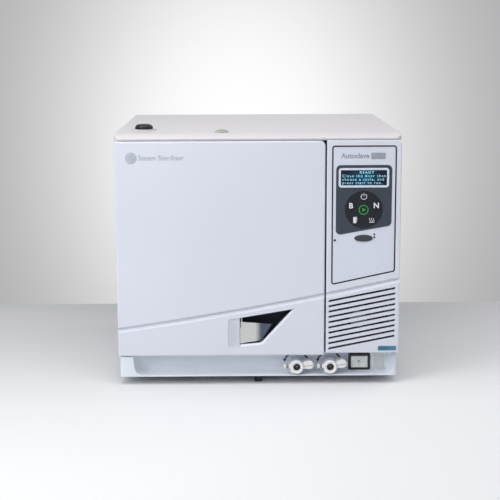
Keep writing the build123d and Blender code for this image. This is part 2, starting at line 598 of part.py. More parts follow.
def door_parts(groove):
    """Door moulding, inner panel, pressure plate, seal, hinges, latch and handle."""
    shell = block(LEFT, DOOR_RIGHT, FRONT, DOOR_BACK_Y, DOOR_BOTTOM, DOOR_TOP)
    uprights = shell.edges().filter_by(Axis.Y).sort_by(lambda e: e.center().X + e.center().Z)
    shell = fillet(uprights[-1], 10)
    shell = fillet(shell.faces().sort_by(Axis.Y)[0].outer_wire().edges(), 3)
    back_left = shell.edges().filter_by(Axis.Z).sort_by(lambda e: e.center().Y - e.center().X)[-1]
    shell = fillet(back_left, 3)
    x0, x1, z0, z1 = LEFT + WALL, DOOR_RIGHT - WALL, DOOR_BOTTOM + WALL, DOOR_TOP - WALL
    hollow = block(x0, x1, FRONT + DOOR_SKIN, DOOR_BACK_Y, z0, z1)
    shell -= hollow - slab(groove_band(9.0), FRONT, FRONT + GROOVE_DEPTH + WALL)
    pocket = pocket_outline()
    well = offset(pocket, amount=POCKET_WALL, kind=Kind.INTERSECTION)
    shell += slab(well, FRONT + 1, POCKET_FLOOR_Y + POCKET_WALL)
    shell -= pocket_cut(pocket)
    shell -= groove
    shell -= block(DOOR_RIGHT - WALL - 1, DOOR_RIGHT + 1, -202.5, -192.5, LATCH_Z - 5, LATCH_Z + 5)
    shell -= rod_x(-206, CHAMBER_Z, 4.6, DOOR_RIGHT - WALL - 1, DOOR_RIGHT + 1)

    panel_front = DOOR_BACK_Y - 0.5 - DOOR_INNER_PANEL
    panel = block(x0, x1, panel_front, DOOR_BACK_Y - 0.5, z0, z1)
    panel -= rod_y(CHAMBER_X, CHAMBER_Z, 60, panel_front - 1, DOOR_BACK_Y)
    for x in (28.0, 90.0):
        guide = block(x, x + 12, -202.2, panel_front, LATCH_Z - 9, LATCH_Z + 9)
        guide -= block(x - 1, x + 13, -201.6, panel_front + 0.1, LATCH_Z - 4.4, LATCH_Z + 4.4)
        panel += guide
    slider = block(-58, DOOR_RIGHT - 0.5, -201.3, panel_front - 0.4, LATCH_Z - 4, LATCH_Z + 4)

    plate = rod_y(CHAMBER_X, CHAMBER_Z, 128, DOOR_BACK_Y - 0.5, -179)
    plate = fillet(plate.faces().sort_by(Axis.Y)[-1].edges(), 3)
    plate += rod_y(CHAMBER_X, CHAMBER_Z, 60, -206, DOOR_BACK_Y - 0.5)
    plate -= rod_y(CHAMBER_X, CHAMBER_Z, 125, -181.5, -178) - rod_y(CHAMBER_X, CHAMBER_Z, 116, -182, -177)
    seal = rod_y(CHAMBER_X, CHAMBER_Z, 125, -181.5, -176.4) - rod_y(CHAMBER_X, CHAMBER_Z, 116, -182, -176)
    seal = fillet(seal.faces().sort_by(Axis.Y)[-1].edges(), 1.2)

    brackets, pins, leaves = [], [], []
    for z in HINGE_HEIGHTS:
        foot, top = z - HINGE_BARREL_LENGTH, z + HINGE_BARREL_LENGTH
        barrel = rod_z(HINGE_X, HINGE_Y, HINGE_BARREL_R, foot, z)
        barrel += block(HINGE_X - 2, HINGE_X + 4, HINGE_Y, CHAMBER_MOUTH_Y, foot, z)
        barrel += block(LEFT + 4, LEFT + 24, CHAMBER_MOUTH_Y - 3, CHAMBER_MOUTH_Y, foot, z)
        brackets.append(barrel - rod_z(HINGE_X, HINGE_Y, HINGE_PIN_R, foot - 1, z + 1))
        pins.append(rod_z(HINGE_X, HINGE_Y, HINGE_PIN_R, foot, top))
        leaf = rod_z(HINGE_X, HINGE_Y, HINGE_BARREL_R, z + 0.3, top)
        leaf += block(HINGE_X, HINGE_X + HINGE_BARREL_R, DOOR_BACK_Y - 0.5, HINGE_Y, z + 0.3, top)
        leaf += block(HINGE_X, LEFT + 24, DOOR_BACK_Y - 0.5, DOOR_BACK_Y + 2, z + 0.3, top)
        leaves.append(leaf - rod_z(HINGE_X, HINGE_Y, HINGE_PIN_R + HINGE_RUNNING_GAP, z, top + 1))

    return {
        "door_shell": shell,
        "door_inner_panel": panel,
        "latch_slider": slider,
        "pressure_plate": plate,
        "door_seal": seal,
        "hinge_brackets": Compound(brackets),
        "hinge_pins": Compound(pins),
        "hinge_leaves": Compound(leaves),
        **handle_parts(),
    }


def handle_parts():
    """Handle plate that bends inwards, its barrel and pin, and the ribbed cover beside it."""
    x, y = HANDLE_X, HANDLE_Y
    front_y = y - HANDLE_BARREL_R
    lean = math.radians(HANDLE_BEND_LEAN)
    height = HANDLE_TOP - HANDLE_BOTTOM
    plan = Pos(0, 0, HANDLE_BOTTOM) * handle_plan(front_y)
    lever = extrude(plan, amount=height / math.cos(lean), dir=(math.sin(lean), 0, math.cos(lean)))
    lever += block(x, HANDLE_BEND_X + 1, front_y, front_y + HANDLE_PLATE_THICK, HANDLE_BOTTOM, HANDLE_TOP)
    lever += rod_z(x, y, HANDLE_BARREL_R, HANDLE_BOTTOM, HANDLE_TOP)
    lever = lever & slab(outline_of(HANDLE_PLATE), FRONT, POCKET_FLOOR_Y)
    lever += Pos(x, y, 0) * Rot(0, 0, 135) * block(0, 17, -1.5, 1.5, LATCH_Z - 6, LATCH_Z + 4)
    lever -= rod_z(x, y, HANDLE_PIN_R + HINGE_RUNNING_GAP, HANDLE_BOTTOM - 5, HANDLE_TOP + 5)
    pin = rod_z(x, y, HANDLE_PIN_R, HANDLE_BOTTOM + 0.2, HANDLE_TOP + 4.5)

    pocket = offset(pocket_outline(), amount=-HANDLE_COVER_GAP, kind=Kind.INTERSECTION)
    left = POCKET[0][0] + HANDLE_COVER_GAP
    right = HANDLE_COVER_RIGHT
    strip = pocket & (Pos((left + right) / 2, 95) * Rectangle(right - left + 1, 80))
    strip = strip & (Pos(right - 30, 95) * Rectangle(60, 80))
    cover = slab(strip, FRONT + 0.4, FRONT + 5.5)
    dip_r = 42.0
    cover -= rod_z((left + right) / 2, FRONT + 1.7 - dip_r, dip_r, 60, 130)
    cover -= rod_z(x, y, HANDLE_SWEEP_R, 60, 130)
    proud = Pos(0, -0.4, 0) * cover
    for rib in range(5):
        rib_x = left + 3.4 + rib * 3.2
        cover += proud & block(rib_x, rib_x + 1.1, FRONT, FRONT + 5, 76, 113)
    cover += block(left + 0.4, left + 3.4, FRONT + 5.5, POCKET_FLOOR_Y, 74, 114)
    return {"handle_lever": lever, "handle_pin": pin, "handle_cover": cover}


def handle_plan(front_y):
    """The handle plate seen from above: flat, then a bend, then a straight tail."""
    turn = math.radians(HANDLE_BEND_ANGLE)
    thick = HANDLE_PLATE_THICK
    centre_y = front_y + HANDLE_BEND_R

    def on_bend(radius, angle):
        return HANDLE_BEND_X + radius * math.sin(angle), centre_y - radius * math.cos(angle)

    inner_r = HANDLE_BEND_R - thick
    outer_end, inner_end = on_bend(HANDLE_BEND_R, turn), on_bend(inner_r, turn)
    tail = HANDLE_TAIL * math.cos(turn), HANDLE_TAIL * math.sin(turn)
    outer_tip = outer_end[0] + tail[0], outer_end[1] + tail[1]
    inner_tip = inner_end[0] + tail[0], inner_end[1] + tail[1]
    left = HANDLE_X - 20
    edges = [
        Line((left, front_y), (HANDLE_BEND_X, front_y)),
        ThreePointArc((HANDLE_BEND_X, front_y), on_bend(HANDLE_BEND_R, turn / 2), outer_end),
        Polyline(outer_end, outer_tip, inner_tip, inner_end),
        ThreePointArc(inner_end, on_bend(inner_r, turn / 2), (HANDLE_BEND_X, front_y + thick)),
        Polyline((HANDLE_BEND_X, front_y + thick), (left, front_y + thick), (left, front_y)),
    ]
    return make_face(edges)


def dished(radius, front, end):
    """A round bar along the chamber's axis with a dished far end."""
    depth = end - CHAMBER_STRAIGHT_Y
    ball_r = (radius**2 + depth**2) / (2 * depth)
    ball = Pos(CHAMBER_X, end - ball_r, CHAMBER_Z) * Sphere(ball_r)
    return rod_y(CHAMBER_X, CHAMBER_Z, radius, front, end) & ball


def chamber_parts():
    """Pressure vessel with its flange, insulation, rack and trays."""
    outer_r = CHAMBER_R + CHAMBER_WALL
    flange_back = SIDE_FRONT_Y + FLANGE_THICK
    vessel = dished(outer_r, CHAMBER_MOUTH_Y, CHAMBER_END_Y + CHAMBER_WALL)
    vessel += rod_y(CHAMBER_X, CHAMBER_Z, FLANGE_R - 8, CHAMBER_MOUTH_Y, SIDE_FRONT_Y)
    vessel += rod_y(CHAMBER_X, CHAMBER_Z, FLANGE_R, SIDE_FRONT_Y, flange_back)
    vessel -= dished(CHAMBER_R, CHAMBER_MOUTH_Y - 1, CHAMBER_END_Y)
    jacket = rod_y(CHAMBER_X, CHAMBER_Z, JACKET_R, flange_back, CHAMBER_STRAIGHT_Y - 2)
    jacket -= rod_y(CHAMBER_X, CHAMBER_Z, outer_r, SIDE_FRONT_Y, 140)

    rack = None
    for side in (-1, 1):
        inside, outside, reach = (CHAMBER_X + side * (TRAY_HALF + margin) for margin in (1.5, 3, -5))
        x0, x1 = sorted((inside, outside))
        plate = block(x0, x1, TRAY_FRONT_Y, TRAY_REAR_Y, CHAMBER_Z - 74, CHAMBER_Z + 60)
        x0, x1 = sorted((reach, outside))
        for step in TRAY_STEPS:
            top = CHAMBER_Z + step - 1.2
            plate += block(x0, x1, TRAY_FRONT_Y, TRAY_REAR_Y, top - 1.5, top)
        rack = plate if rack is None else rack + plate
    for y in (-120.0, 90.0):
        reach = TRAY_HALF + 2
        rack += block(CHAMBER_X - reach, CHAMBER_X + reach, y, y + 12, CHAMBER_Z - 74, CHAMBER_Z - 72)
        rack += block(CHAMBER_X - 22, CHAMBER_X + 22, y, y + 12, CHAMBER_Z - 118, CHAMBER_Z - 72)

    trays = []
    for step in TRAY_STEPS:
        z = CHAMBER_Z + step - 1.2
        x0, x1 = CHAMBER_X - TRAY_HALF, CHAMBER_X + TRAY_HALF
        tray = block(x0, x1, TRAY_FRONT_Y, TRAY_REAR_Y, z, z + 12)
        tray -= block(x0 + 1.2, x1 - 1.2, TRAY_FRONT_Y + 1.2, TRAY_REAR_Y - 1.2, z + 1.2, z + 13)
        trays.append(tray)
    return {
        "chamber_vessel": vessel,
        "insulation_jacket": jacket,
        "tray_rack": rack,
        "instrument_trays": Compound(trays),
    }


def water_parts():
    """Tanks, filler, spirit level, pump, steam generator, condenser, filter and pipes."""
    shape = ((-244, 352), (-178, 352), (-178, 396), (90, 396), (90, 438), (-244, 438))
    inner = ((-241, 355), (-181, 355), (-181, 399), (87, 399), (87, 435), (-241, 435))
    tank = slab(outline_of(shape), -165, 200) - slab(outline_of(inner), -162, 197)
    tank -= rod_z(FILLER_X, FILLER_Y, FILLER_BORE_R, 430, 440)
    used = block(-242, -108, -140, 190, FLOOR_Z, 96) - block(-239, -111, -137, 187, FLOOR_Z + 3, 93)

    neck = rod_z(FILLER_X, FILLER_Y, FILLER_NECK_R, 438, HEIGHT + 5)
    neck += rod_z(FILLER_X, FILLER_Y, FILLER_FLANGE_R, HEIGHT, HEIGHT + 1.8)
    neck -= rod_z(FILLER_X, FILLER_Y, FILLER_BORE_R, 430, HEIGHT + 6)
    cap = rod_z(FILLER_X, FILLER_Y, FILLER_CAP_R, HEIGHT + 2, HEIGHT + 8)
    cap = fillet(cap.faces().sort_by(Axis.Z)[-1].edges(), 2.2)
    cap -= rod_z(FILLER_X, FILLER_Y, FILLER_NECK_R + 0.3, HEIGHT + 1, HEIGHT + 5.4)

    level = rod_z(LEVEL_X, LEVEL_Y, LEVEL_R - 1.5, HEIGHT - 2, HEIGHT)
    level += rod_z(LEVEL_X, LEVEL_Y, LEVEL_R, HEIGHT, HEIGHT + 1.6)
    dome_r = 22.0
    dome = Pos(LEVEL_X, LEVEL_Y, HEIGHT + 5.0 - dome_r) * Sphere(dome_r)
    level += dome & rod_z(LEVEL_X, LEVEL_Y, LEVEL_R - 1.5, HEIGHT + 1, HEIGHT + 6)

    pump = rod_y(165, 66, 40, 40, 150) + block(130, 200, 150, 190, 30, 100)
    pump += block(135, 195, 60, 82, FLOOR_Z, 40) + block(135, 195, 118, 140, FLOOR_Z, 40)
    steam = rod_z(150, -60, 32, FLOOR_Z, 168) + rod_z(150, -60, 20, 168, 175)
    steam = fillet(steam.edges().filter_by(GeomType.CIRCLE).sort_by(Axis.Z)[-3:-2], 1)

    condenser = None
    for fin in range(16):
        x = 138 + fin * 6
        plate = block(x, x + 1.2, -170, -122, 74, 162)
        condenser = plate if condenser is None else condenser + plate
    for row in range(4):
        condenser += rod_x(-158, 86 + row * 21, 4, 136, 232) + rod_x(-134, 86 + row * 21, 4, 136, 232)
    condenser += block(136, 138, -170, -122, FLOOR_Z, 162) + block(230, 232, -170, -122, FLOOR_Z, 162)

    filter_body = rod_y(*FILTER, FILTER_R, REAR_PANEL_Y - 2, REAR)
    filter_body += rod_y(*FILTER, 14, 204, REAR_PANEL_Y - 2)
    filter_body = chamfer(filter_body.faces().sort_by(Axis.Y)[-1].edges(), 1.5)
    pipes = [pipe(route) for route in pipe_routes()]
    return {
        "clean_tank": tank,
        "used_tank": used,
        "filler_neck": neck,
        "filler_cap": cap,
        "spirit_level": level,
        "vacuum_pump": pump,
        "steam_generator": steam,
        "condenser": condenser,
        "air_filter": filter_body,
        "pipework": Compound(pipes),
    }


def pipe_routes():
    """Where each pipe runs, as lists of corners."""
    clean_x, used_x = VALVE_XS["clean"], VALVE_XS["used"]
    stem_y = CHAMBER_MOUTH_Y - 10
    return [
        [
            (CHAMBER_X, CHAMBER_END_Y + 4, CHAMBER_Z), (CHAMBER_X, 210, CHAMBER_Z), (160, 210, CHAMBER_Z),
            (160, 210, 120), (160, 175, 120), (160, 175, 100),
        ],
        [(185, 165, 100), (185, 165, 205), (185, -146, 205), (185, -146, 162)],
        [(150, -60, 175), (150, -60, 230), (82, -60, 230)],
        [(84, -20, 396), (84, -20, 370), (140, -20, 370), (140, -50, 370), (140, -50, 175)],
        [(clean_x, stem_y, VALVE_Z), (clean_x, -120, VALVE_Z), (-108, -120, VALVE_Z)],
        [
            (used_x, stem_y, VALVE_Z), (used_x, -175, VALVE_Z), (116, -115, VALVE_Z), (100, -115, VALVE_Z),
            (100, -115, 380), (80, -115, 380), (80, -115, 396),
        ],
    ]


def pipe(points, radius=4.0):
    """A pipe along straight runs, with a ball at each turn."""
    run = None
    for start, end in zip(points, points[1:]):
        a, b = Vector(*start), Vector(*end)
        distance = (b - a).length
        length = Plane(origin=a, z_dir=b - a) * Pos(0, 0, distance / 2) * Cylinder(radius, distance)
        run = length if run is None else run + length
    for point in points[1:-1]:
        run += Pos(*point) * Sphere(radius)
    return run


def fastener_part():
    """Flange bolts, cover screws and the small studs on the insert panel."""
    solids = []
    for turn in range(8):
        angle = math.radians(turn * 45 + 22.5)
        reach = FLANGE_R - 3.5
        x, z = CHAMBER_X + reach * math.cos(angle), CHAMBER_Z + reach * math.sin(angle)
        solids.append(rod_y(x, z, 3.2, CHAMBER_MOUTH_Y - 4, CHAMBER_MOUTH_Y))
    for x in (-235, -80, 80, 235):
        for z in (60, 425):
            solids.append(rod_y(x, z, 4, REAR_PANEL_Y, REAR_PANEL_Y + 2))
    for side in (-1, 1):
        for y in (-150, 30, 210):
            solids.append(rod_z(side * 240, y, 4, BASE_Z - 2, BASE_Z))
    for x, z, radius in STUDS:
        solids.append(rod_y(x, z, radius, INSERT_FACE_Y - 0.4, INSERT_FACE_Y))
    return {"fasteners": Compound(solids)}


def main():
    """Builds every part and writes one STEP file for each."""
    os.makedirs("parts", exist_ok=True)
    groove = groove_tool()
    parts = {
        **cabinet_parts(),
        **plinth_part(),
        **valve_parts(),
        **switch_parts(),
        **fascia_parts(groove),
        **electronics_parts(),
        **door_parts(groove),
        **chamber_parts(),
        **water_parts(),
        **fastener_part(),
    }
    for name, shape in parts.items():
        export_step(shape, f"parts/{name}.step")
    print(len(parts), "parts written")


main()
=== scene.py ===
"""Finishes for a benchtop autoclave: materials, legends, small trim and a studio, round its CAD frame."""

import json
import math

import bmesh
import bpy
from mathutils import Matrix, Vector

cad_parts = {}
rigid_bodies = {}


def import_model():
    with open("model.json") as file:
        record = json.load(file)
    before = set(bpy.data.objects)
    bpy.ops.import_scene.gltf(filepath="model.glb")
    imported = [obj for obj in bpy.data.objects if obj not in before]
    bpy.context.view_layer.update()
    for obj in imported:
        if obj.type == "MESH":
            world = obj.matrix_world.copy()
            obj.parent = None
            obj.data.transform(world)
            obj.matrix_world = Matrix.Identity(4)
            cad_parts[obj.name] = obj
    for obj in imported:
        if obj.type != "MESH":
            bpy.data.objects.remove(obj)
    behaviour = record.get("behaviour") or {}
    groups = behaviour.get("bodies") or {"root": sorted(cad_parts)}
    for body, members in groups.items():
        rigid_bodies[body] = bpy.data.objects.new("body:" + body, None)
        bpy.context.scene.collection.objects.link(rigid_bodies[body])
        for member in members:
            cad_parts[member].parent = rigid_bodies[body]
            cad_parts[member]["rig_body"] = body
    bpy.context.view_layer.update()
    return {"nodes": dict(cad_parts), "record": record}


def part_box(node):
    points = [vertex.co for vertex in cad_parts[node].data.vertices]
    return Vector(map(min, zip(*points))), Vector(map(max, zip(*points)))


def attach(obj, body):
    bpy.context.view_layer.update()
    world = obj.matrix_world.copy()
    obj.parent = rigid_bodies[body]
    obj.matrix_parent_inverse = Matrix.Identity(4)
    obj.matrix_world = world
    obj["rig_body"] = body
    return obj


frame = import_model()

bl_info = {
    "name": "Benchtop Autoclave Finisher",
    "version": (1, 0, 0),
    "blender": (4, 5, 0),
    "location": "View3D > Sidebar > Autoclave",
    "description": "Paints the cabinet, prints its legends and sets it in a studio",
    "category": "Object",
}

MM = 0.001
FRONT_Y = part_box("door_shell")[0].y
LIFT = 0.05 * MM
PRINT_THICK = 0.12 * MM
LABEL_THICK = 0.2 * MM
OUT, BACK, UP, LEFT = (0, -1, 0), (0, 1, 0), (0, 0, 1), (-1, 0, 0)
BENCH_REAR = 0.42
BENCH_NEAR = -0.35
# Bench colour at its rear edge and near the front; the darker rear is painted shade
BENCH_BACK = (0.55, 0.55, 0.555)
BENCH_FRONT = (0.80, 0.80, 0.80)
BACKDROP_Y = 2.4
# Painted glow on the backdrop: its centre, squash, reach and brightness levels
GLOW_X = -0.02
GLOW_Z = 0.15
GLOW_SQUASH = 0.75
GLOW_REACH = 1.2
GLOW_LEVELS = ((0.0, 1.0), (0.25, 0.98), (0.5, 0.72), (0.75, 0.50), (1.0, 0.40))
WORLD_COLOUR = (0.90, 0.92, 1.0)
WORLD_STRENGTH = 0.42
# Dark sheets of painted shade in the handle pocket: floor outline and wall strokes in millimetres from the
# handle cover's corner, then the walls' depth
POCKET_SHADE_FLOOR = ((1.4, 5.5), (34.4, 8.4), (37.4, 9.5), (40.4, 11.4), (93.4, 69.0), (1.4, 53.8))
POCKET_SHADE_WALLS = (
    ((6.4, 5.8), (34.4, 8.3)),
    ((41.2, 11.7), (93.5, 68.8)),
    ((1.4, 53.9), (92.9, 69.1)),
)
POCKET_SHADE_DEPTH = 25.5 * MM
# Width of the handle plate's bend, across which painted shade darkens the plate
BEND_WIDTH = 32 * MM
REAR_SCREW_X = (-0.155, 0.0, 0.155, 0.236)
REAR_SCREW_Z = (0.16, 0.25, 0.34)
REAR_SCREW_EDGE = 0.240
DOOR_SCREW_X = (-0.12, 0.0)
SIDE_SCREW_Y = (-0.14, 0.03, 0.20)
STUDS = ((203.8, 272.2, 1.5), (203.8, 267.0, 1.5), (134.4, 261.8, 1.9))
INSERT_WORD_X = 0.169
INSERT_TAB_X = (0.1965, 0.222)
DISPLAY_SPACING = 1.36
MARK_DEPTH = 27.2 * MM
SWITCH_DEPTH = 23.0 * MM
GRIPS = 30
LEVER_LEAN = {"clean": 0.0, "used": 5.0}


# ---------------------------------------------------------------- settings


def colour_setting(name, description, default):
    """A colour swatch for the panel."""
    return bpy.props.FloatVectorProperty(
        name=name, description=description, subtype="COLOR", size=3, min=0.0, max=1.0, default=default
    )


def number_setting(name, description, default, **kind):
    """A number for the panel, with its unit or subtype."""
    return bpy.props.FloatProperty(name=name, description=description, default=default, **kind)


class AutoclaveColours(bpy.types.PropertyGroup):
    """Colours of the paints, mouldings and prints, and of the painted shade in the handle pocket."""

    front: colour_setting("Front moulding", "Door and fascia moulding", (0.68, 0.70, 0.77))
    insert: colour_setting("Insert panel", "Panel that carries the controls", (0.66, 0.69, 0.78))
    cover: colour_setting("Cover paint", "Side covers and rear panel", (0.66, 0.67, 0.71))
    # The top cover has the side covers' paint; its colour here is made darker and warmer as painted shade, so
    # the top does not read brighter under the overhead light
    top: colour_setting("Top cover", "Top cover with its rolled front", (0.62, 0.60, 0.62))
    plinth: colour_setting("Plinth", "Front plinth moulding", (0.74, 0.79, 0.85))
    overlay: colour_setting("Dark overlay", "Printed film behind the display", (0.038, 0.050, 0.068))
    disc: colour_setting("Key disc", "Printed disc that holds the keys", (0.007, 0.008, 0.015))
    start: colour_setting("Start key", "Ring and triangle of the start key", (0.02, 0.27, 0.04))
    legend: colour_setting("Legends", "White key legends", (0.80, 0.80, 0.84))
    faint_print: colour_setting("Faint print", "Grey lettering on the front", (0.30, 0.33, 0.38))
    glow: colour_setting("Display glow", "Lit characters of the display", (0.35, 0.80, 0.95))
    handle: colour_setting("Handle", "Satin handle plate", (0.66, 0.66, 0.64))
    valve: colour_setting("Valves", "White valve mouldings", (0.80, 0.80, 0.80))
    blue: colour_setting("Blue label", "Label under the louvres", (0.03, 0.16, 0.26))
    # Colour of the painted shade in the handle pocket
    pocket_shade: colour_setting("Pocket shade", "Dark inside of the handle pocket", (0.030, 0.036, 0.055))


class AutoclaveSizes(bpy.types.PropertyGroup):
    """Sizes of what is printed and trimmed."""

    soft_edge: number_setting("Soft edge", "Rounding seen on moulded edges", 0.6 * MM, unit="LENGTH")
    letter_height: number_setting(
        "Key letter height", "Height of the letters on the keys", 13.2 * MM, unit="LENGTH"
    )
    row_pitch: number_setting(
        "Display row pitch", "Distance between rows of the display", 6.1 * MM, unit="LENGTH"
    )
    screw_radius: number_setting(
        "Screw radius", "Radius of the cover screws' heads", 3.6 * MM, unit="LENGTH"
    )


class AutoclaveStudio(bpy.types.PropertyGroup):
    """Camera and lights."""

    lens: number_setting("Lens", "Focal length", 87.9, subtype="DISTANCE_CAMERA")
    eye: bpy.props.FloatVectorProperty(
        name="Camera place", description="Camera position", default=(-0.0333, -2.3453, 0.6332),
        subtype="TRANSLATION"
    )
    tilt: number_setting("Tilt", "How far the camera looks down", math.radians(10.41), subtype="ANGLE")
    turn: number_setting(
        "Turn", "How far the camera looks to the right", math.radians(0.51), subtype="ANGLE"
    )
    roll: number_setting("Roll", "Roll about the line of sight", math.radians(-0.23), subtype="ANGLE")
    key_power: number_setting("Key light", "Power of the main softbox", 12.0, unit="POWER")
    top_power: number_setting("Top light", "Power of the overhead softbox", 22.0, unit="POWER")
    rim_power: number_setting("Rim light", "Power of the right rear softbox", 7.0, unit="POWER")


def settings(context):
    """The three groups of settings."""
    scene = context.scene
    return scene.autoclave_colours, scene.autoclave_sizes, scene.autoclave_studio


# ---------------------------------------------------------------- materials


class Shader:
    """A node material under construction."""

    def __init__(self, name):
        self.material = bpy.data.materials.new(name)
        self.material.use_nodes = True
        self.tree = self.material.node_tree
        self.surface = self.tree.nodes["Principled BSDF"]
        self.place = self.node("ShaderNodeTexCoord").outputs["Object"]

    def node(self, kind, **sockets):
        """Adds a node and sets its inputs by name."""
        made = self.tree.nodes.new(kind)
        for key, value in sockets.items():
            made.inputs[key.replace("_", " ")].default_value = value
        return made

    def join(self, source, target):
        """Links an output to an input."""
        self.tree.links.new(source, target)

    def set(self, **sockets):
        """Sets the surface's own sockets."""
        for key, value in sockets.items():
            self.surface.inputs[key.replace("_", " ")].default_value = value

    def stretched(self, scale):
        """Object coordinates stretched along an axis."""
        mapping = self.node("ShaderNodeMapping")
        mapping.inputs["Scale"].default_value = scale
        self.join(self.place, mapping.inputs["Vector"])
        return mapping.outputs["Vector"]

    def noise(self, scale, detail=3.0, vector=None):
        """A noise pattern, with its size in repeats per metre."""
        made = self.node("ShaderNodeTexNoise", Scale=scale, Detail=detail)
        self.join(vector or self.place, made.inputs["Vector"])
        return made.outputs["Fac"]

    def ramp(self, source, low, high, start=0.35, end=0.65):
        """Maps a pattern to a range of values."""
        made = self.node("ShaderNodeMapRange")
        for key, value in (("From Min", start), ("From Max", end), ("To Min", low), ("To Max", high)):
            made.inputs[key].default_value = value
        self.join(source, made.inputs["Value"])
        return made.outputs["Result"]

    def blend(self, factor, first, second):
        """Mixes two colours by a pattern. The first may be an output."""
        mix = self.node("ShaderNodeMix")
        mix.data_type = "RGBA"
        if isinstance(first, bpy.types.NodeSocket):
            self.join(first, mix.inputs[6])
        else:
            mix.inputs[6].default_value = (*first, 1)
        mix.inputs[7].default_value = (*second, 1)
        self.join(factor, mix.inputs["Factor"])
        return mix.outputs[2]

    def mottle(self, colour, amount, pattern):
        """Base colour that drifts a little lighter and darker."""
        dark = [c * (1 - amount) for c in colour]
        light = [min(1, c * (1 + amount)) for c in colour]
        made = self.blend(pattern, dark, light)
        self.join(made, self.surface.inputs["Base Color"])
        return made

    def rough(self, low, high, pattern):
        """Roughness that varies between two values."""
        self.join(self.ramp(pattern, low, high), self.surface.inputs["Roughness"])

    def bump(self, pattern, strength, distance, soft_edge=0.0):
        """Relief from a pattern, on edges rounded by a small radius."""
        made = self.node("ShaderNodeBump", Strength=strength, Distance=distance)
        self.join(pattern, made.inputs["Height"])
        if soft_edge:
            bevel = self.node("ShaderNodeBevel", Radius=soft_edge)
            bevel.samples = 6
            self.join(bevel.outputs["Normal"], made.inputs["Normal"])
        self.join(made.outputs["Normal"], self.surface.inputs["Normal"])


def moulding(name, colour, gloss=0.32, grain=2600.0, soft_edge=0.0, spread=0.02):
    """Satin moulded plastic with a fine spark-eroded grain."""
    shader = Shader(name)
    cloud = shader.noise(4.0, 1.0)
    fine = shader.noise(grain, 2.0)
    shader.mottle(colour, spread, shader.ramp(cloud, 0, 1, 0.2, 0.8))
    shader.rough(gloss - 0.02, gloss + 0.03, shader.noise(700.0, 3.0))
    shader.bump(fine, 0.12, 0.05 * MM, soft_edge)
    shader.set(IOR=1.47)
    return shader.material


def powder_paint(name, colour, soft_edge=0.0):
    """Powder paint on sheet steel, with its orange peel."""
    shader = Shader(name)
    peel = shader.node("ShaderNodeTexVoronoi", Scale=520.0)
    shader.join(shader.place, peel.inputs["Vector"])
    shader.mottle(colour, 0.015, shader.ramp(shader.noise(4.0, 1.0), 0, 1, 0.2, 0.8))
    shader.rough(0.38, 0.44, shader.noise(600.0, 3.0))
    shader.bump(peel.outputs["Distance"], 0.10, 0.12 * MM, soft_edge)
    shader.set(Coat_Weight=0.15, Coat_Roughness=0.25)
    return shader.material


def brushed(name, colour, axis_scale, gloss=0.28):
    """Brushed metal, its scratches along the axis with the smallest scale."""
    shader = Shader(name)
    lines = shader.noise(1.0, 6.0, shader.stretched(axis_scale))
    shader.mottle(colour, 0.07, shader.ramp(lines, 0, 1, 0.3, 0.7))
    shader.rough(gloss - 0.06, gloss + 0.12, lines)
    shader.bump(lines, 0.16, 0.05 * MM)
    shader.set(Metallic=1.0)
    return shader.material


def cast_metal(name, colour):
    """Sand-blasted cast metal."""
    shader = Shader(name)
    pits = shader.noise(900.0, 6.0)
    shader.mottle(colour, 0.12, shader.ramp(shader.noise(50.0, 4.0), 0, 1))
    shader.rough(0.45, 0.62, pits)
    shader.bump(pits, 0.45, 0.2 * MM)
    shader.set(Metallic=1.0)
    return shader.material


def rubber(name, colour):
    """Matt rubber with fine scuffs."""
    shader = Shader(name)
    scuffs = shader.noise(400.0, 6.0)
    shader.mottle(colour, 0.25, shader.ramp(scuffs, 0, 1))
    shader.rough(0.62, 0.82, scuffs)
    shader.bump(scuffs, 0.3, 0.1 * MM)
    return shader.material


def printed_film(name, colour, gloss=0.30):
    """Ink on polyester film."""
    shader = Shader(name)
    grain = shader.noise(3800.0, 2.0)
    shader.mottle(colour, 0.06, shader.ramp(shader.noise(120.0, 3.0), 0, 1))
    shader.rough(gloss, gloss + 0.10, grain)
    shader.bump(grain, 0.08, 0.02 * MM)
    return shader.material


def glowing(name, colour, strength):
    """Lit characters, a little uneven from dot to dot."""
    shader = Shader(name)
    dots = shader.noise(900.0, 2.0)
    shader.mottle(colour, 0.10, shader.ramp(dots, 0, 1))
    shader.rough(0.35, 0.45, dots)
    shader.surface.inputs["Emission Color"].default_value = (*colour, 1)
    shader.set(Emission_Strength=strength)
    return shader.material


def translucent(name, colour, gloss, see_through):
    """Clear or milky plastic."""
    shader = Shader(name)
    haze = shader.noise(80.0, 3.0)
    shader.mottle(colour, 0.04, shader.ramp(haze, 0, 1))
    shader.rough(gloss, gloss + 0.08, haze)
    shader.bump(haze, 0.05, 0.1 * MM)
    shader.set(Transmission_Weight=see_through, IOR=1.46)
    return shader.material


def circuit_mask(name, colour):
    """Green solder mask with copper tracks showing through."""
    shader = Shader(name)
    tracks = shader.node("ShaderNodeTexVoronoi", Scale=260.0)
    tracks.feature = "DISTANCE_TO_EDGE"
    shader.join(shader.place, tracks.inputs["Vector"])
    shader.mottle(colour, 0.35, shader.ramp(tracks.outputs["Distance"], 0, 1, 0.05, 0.12))
    shader.rough(0.25, 0.40, shader.noise(300.0))
    shader.bump(tracks.outputs["Distance"], 0.2, 0.05 * MM)
    return shader.material


def felt(name, colour):
    """Wrapped insulation with tangled fibres."""
    shader = Shader(name)
    fibres = shader.noise(700.0, 8.0)
    shader.mottle(colour, 0.25, shader.ramp(fibres, 0, 1))
    shader.rough(0.85, 0.95, fibres)
    shader.bump(fibres, 0.8, 0.4 * MM)
    shader.set(Sheen_Weight=0.3)
    return shader.material


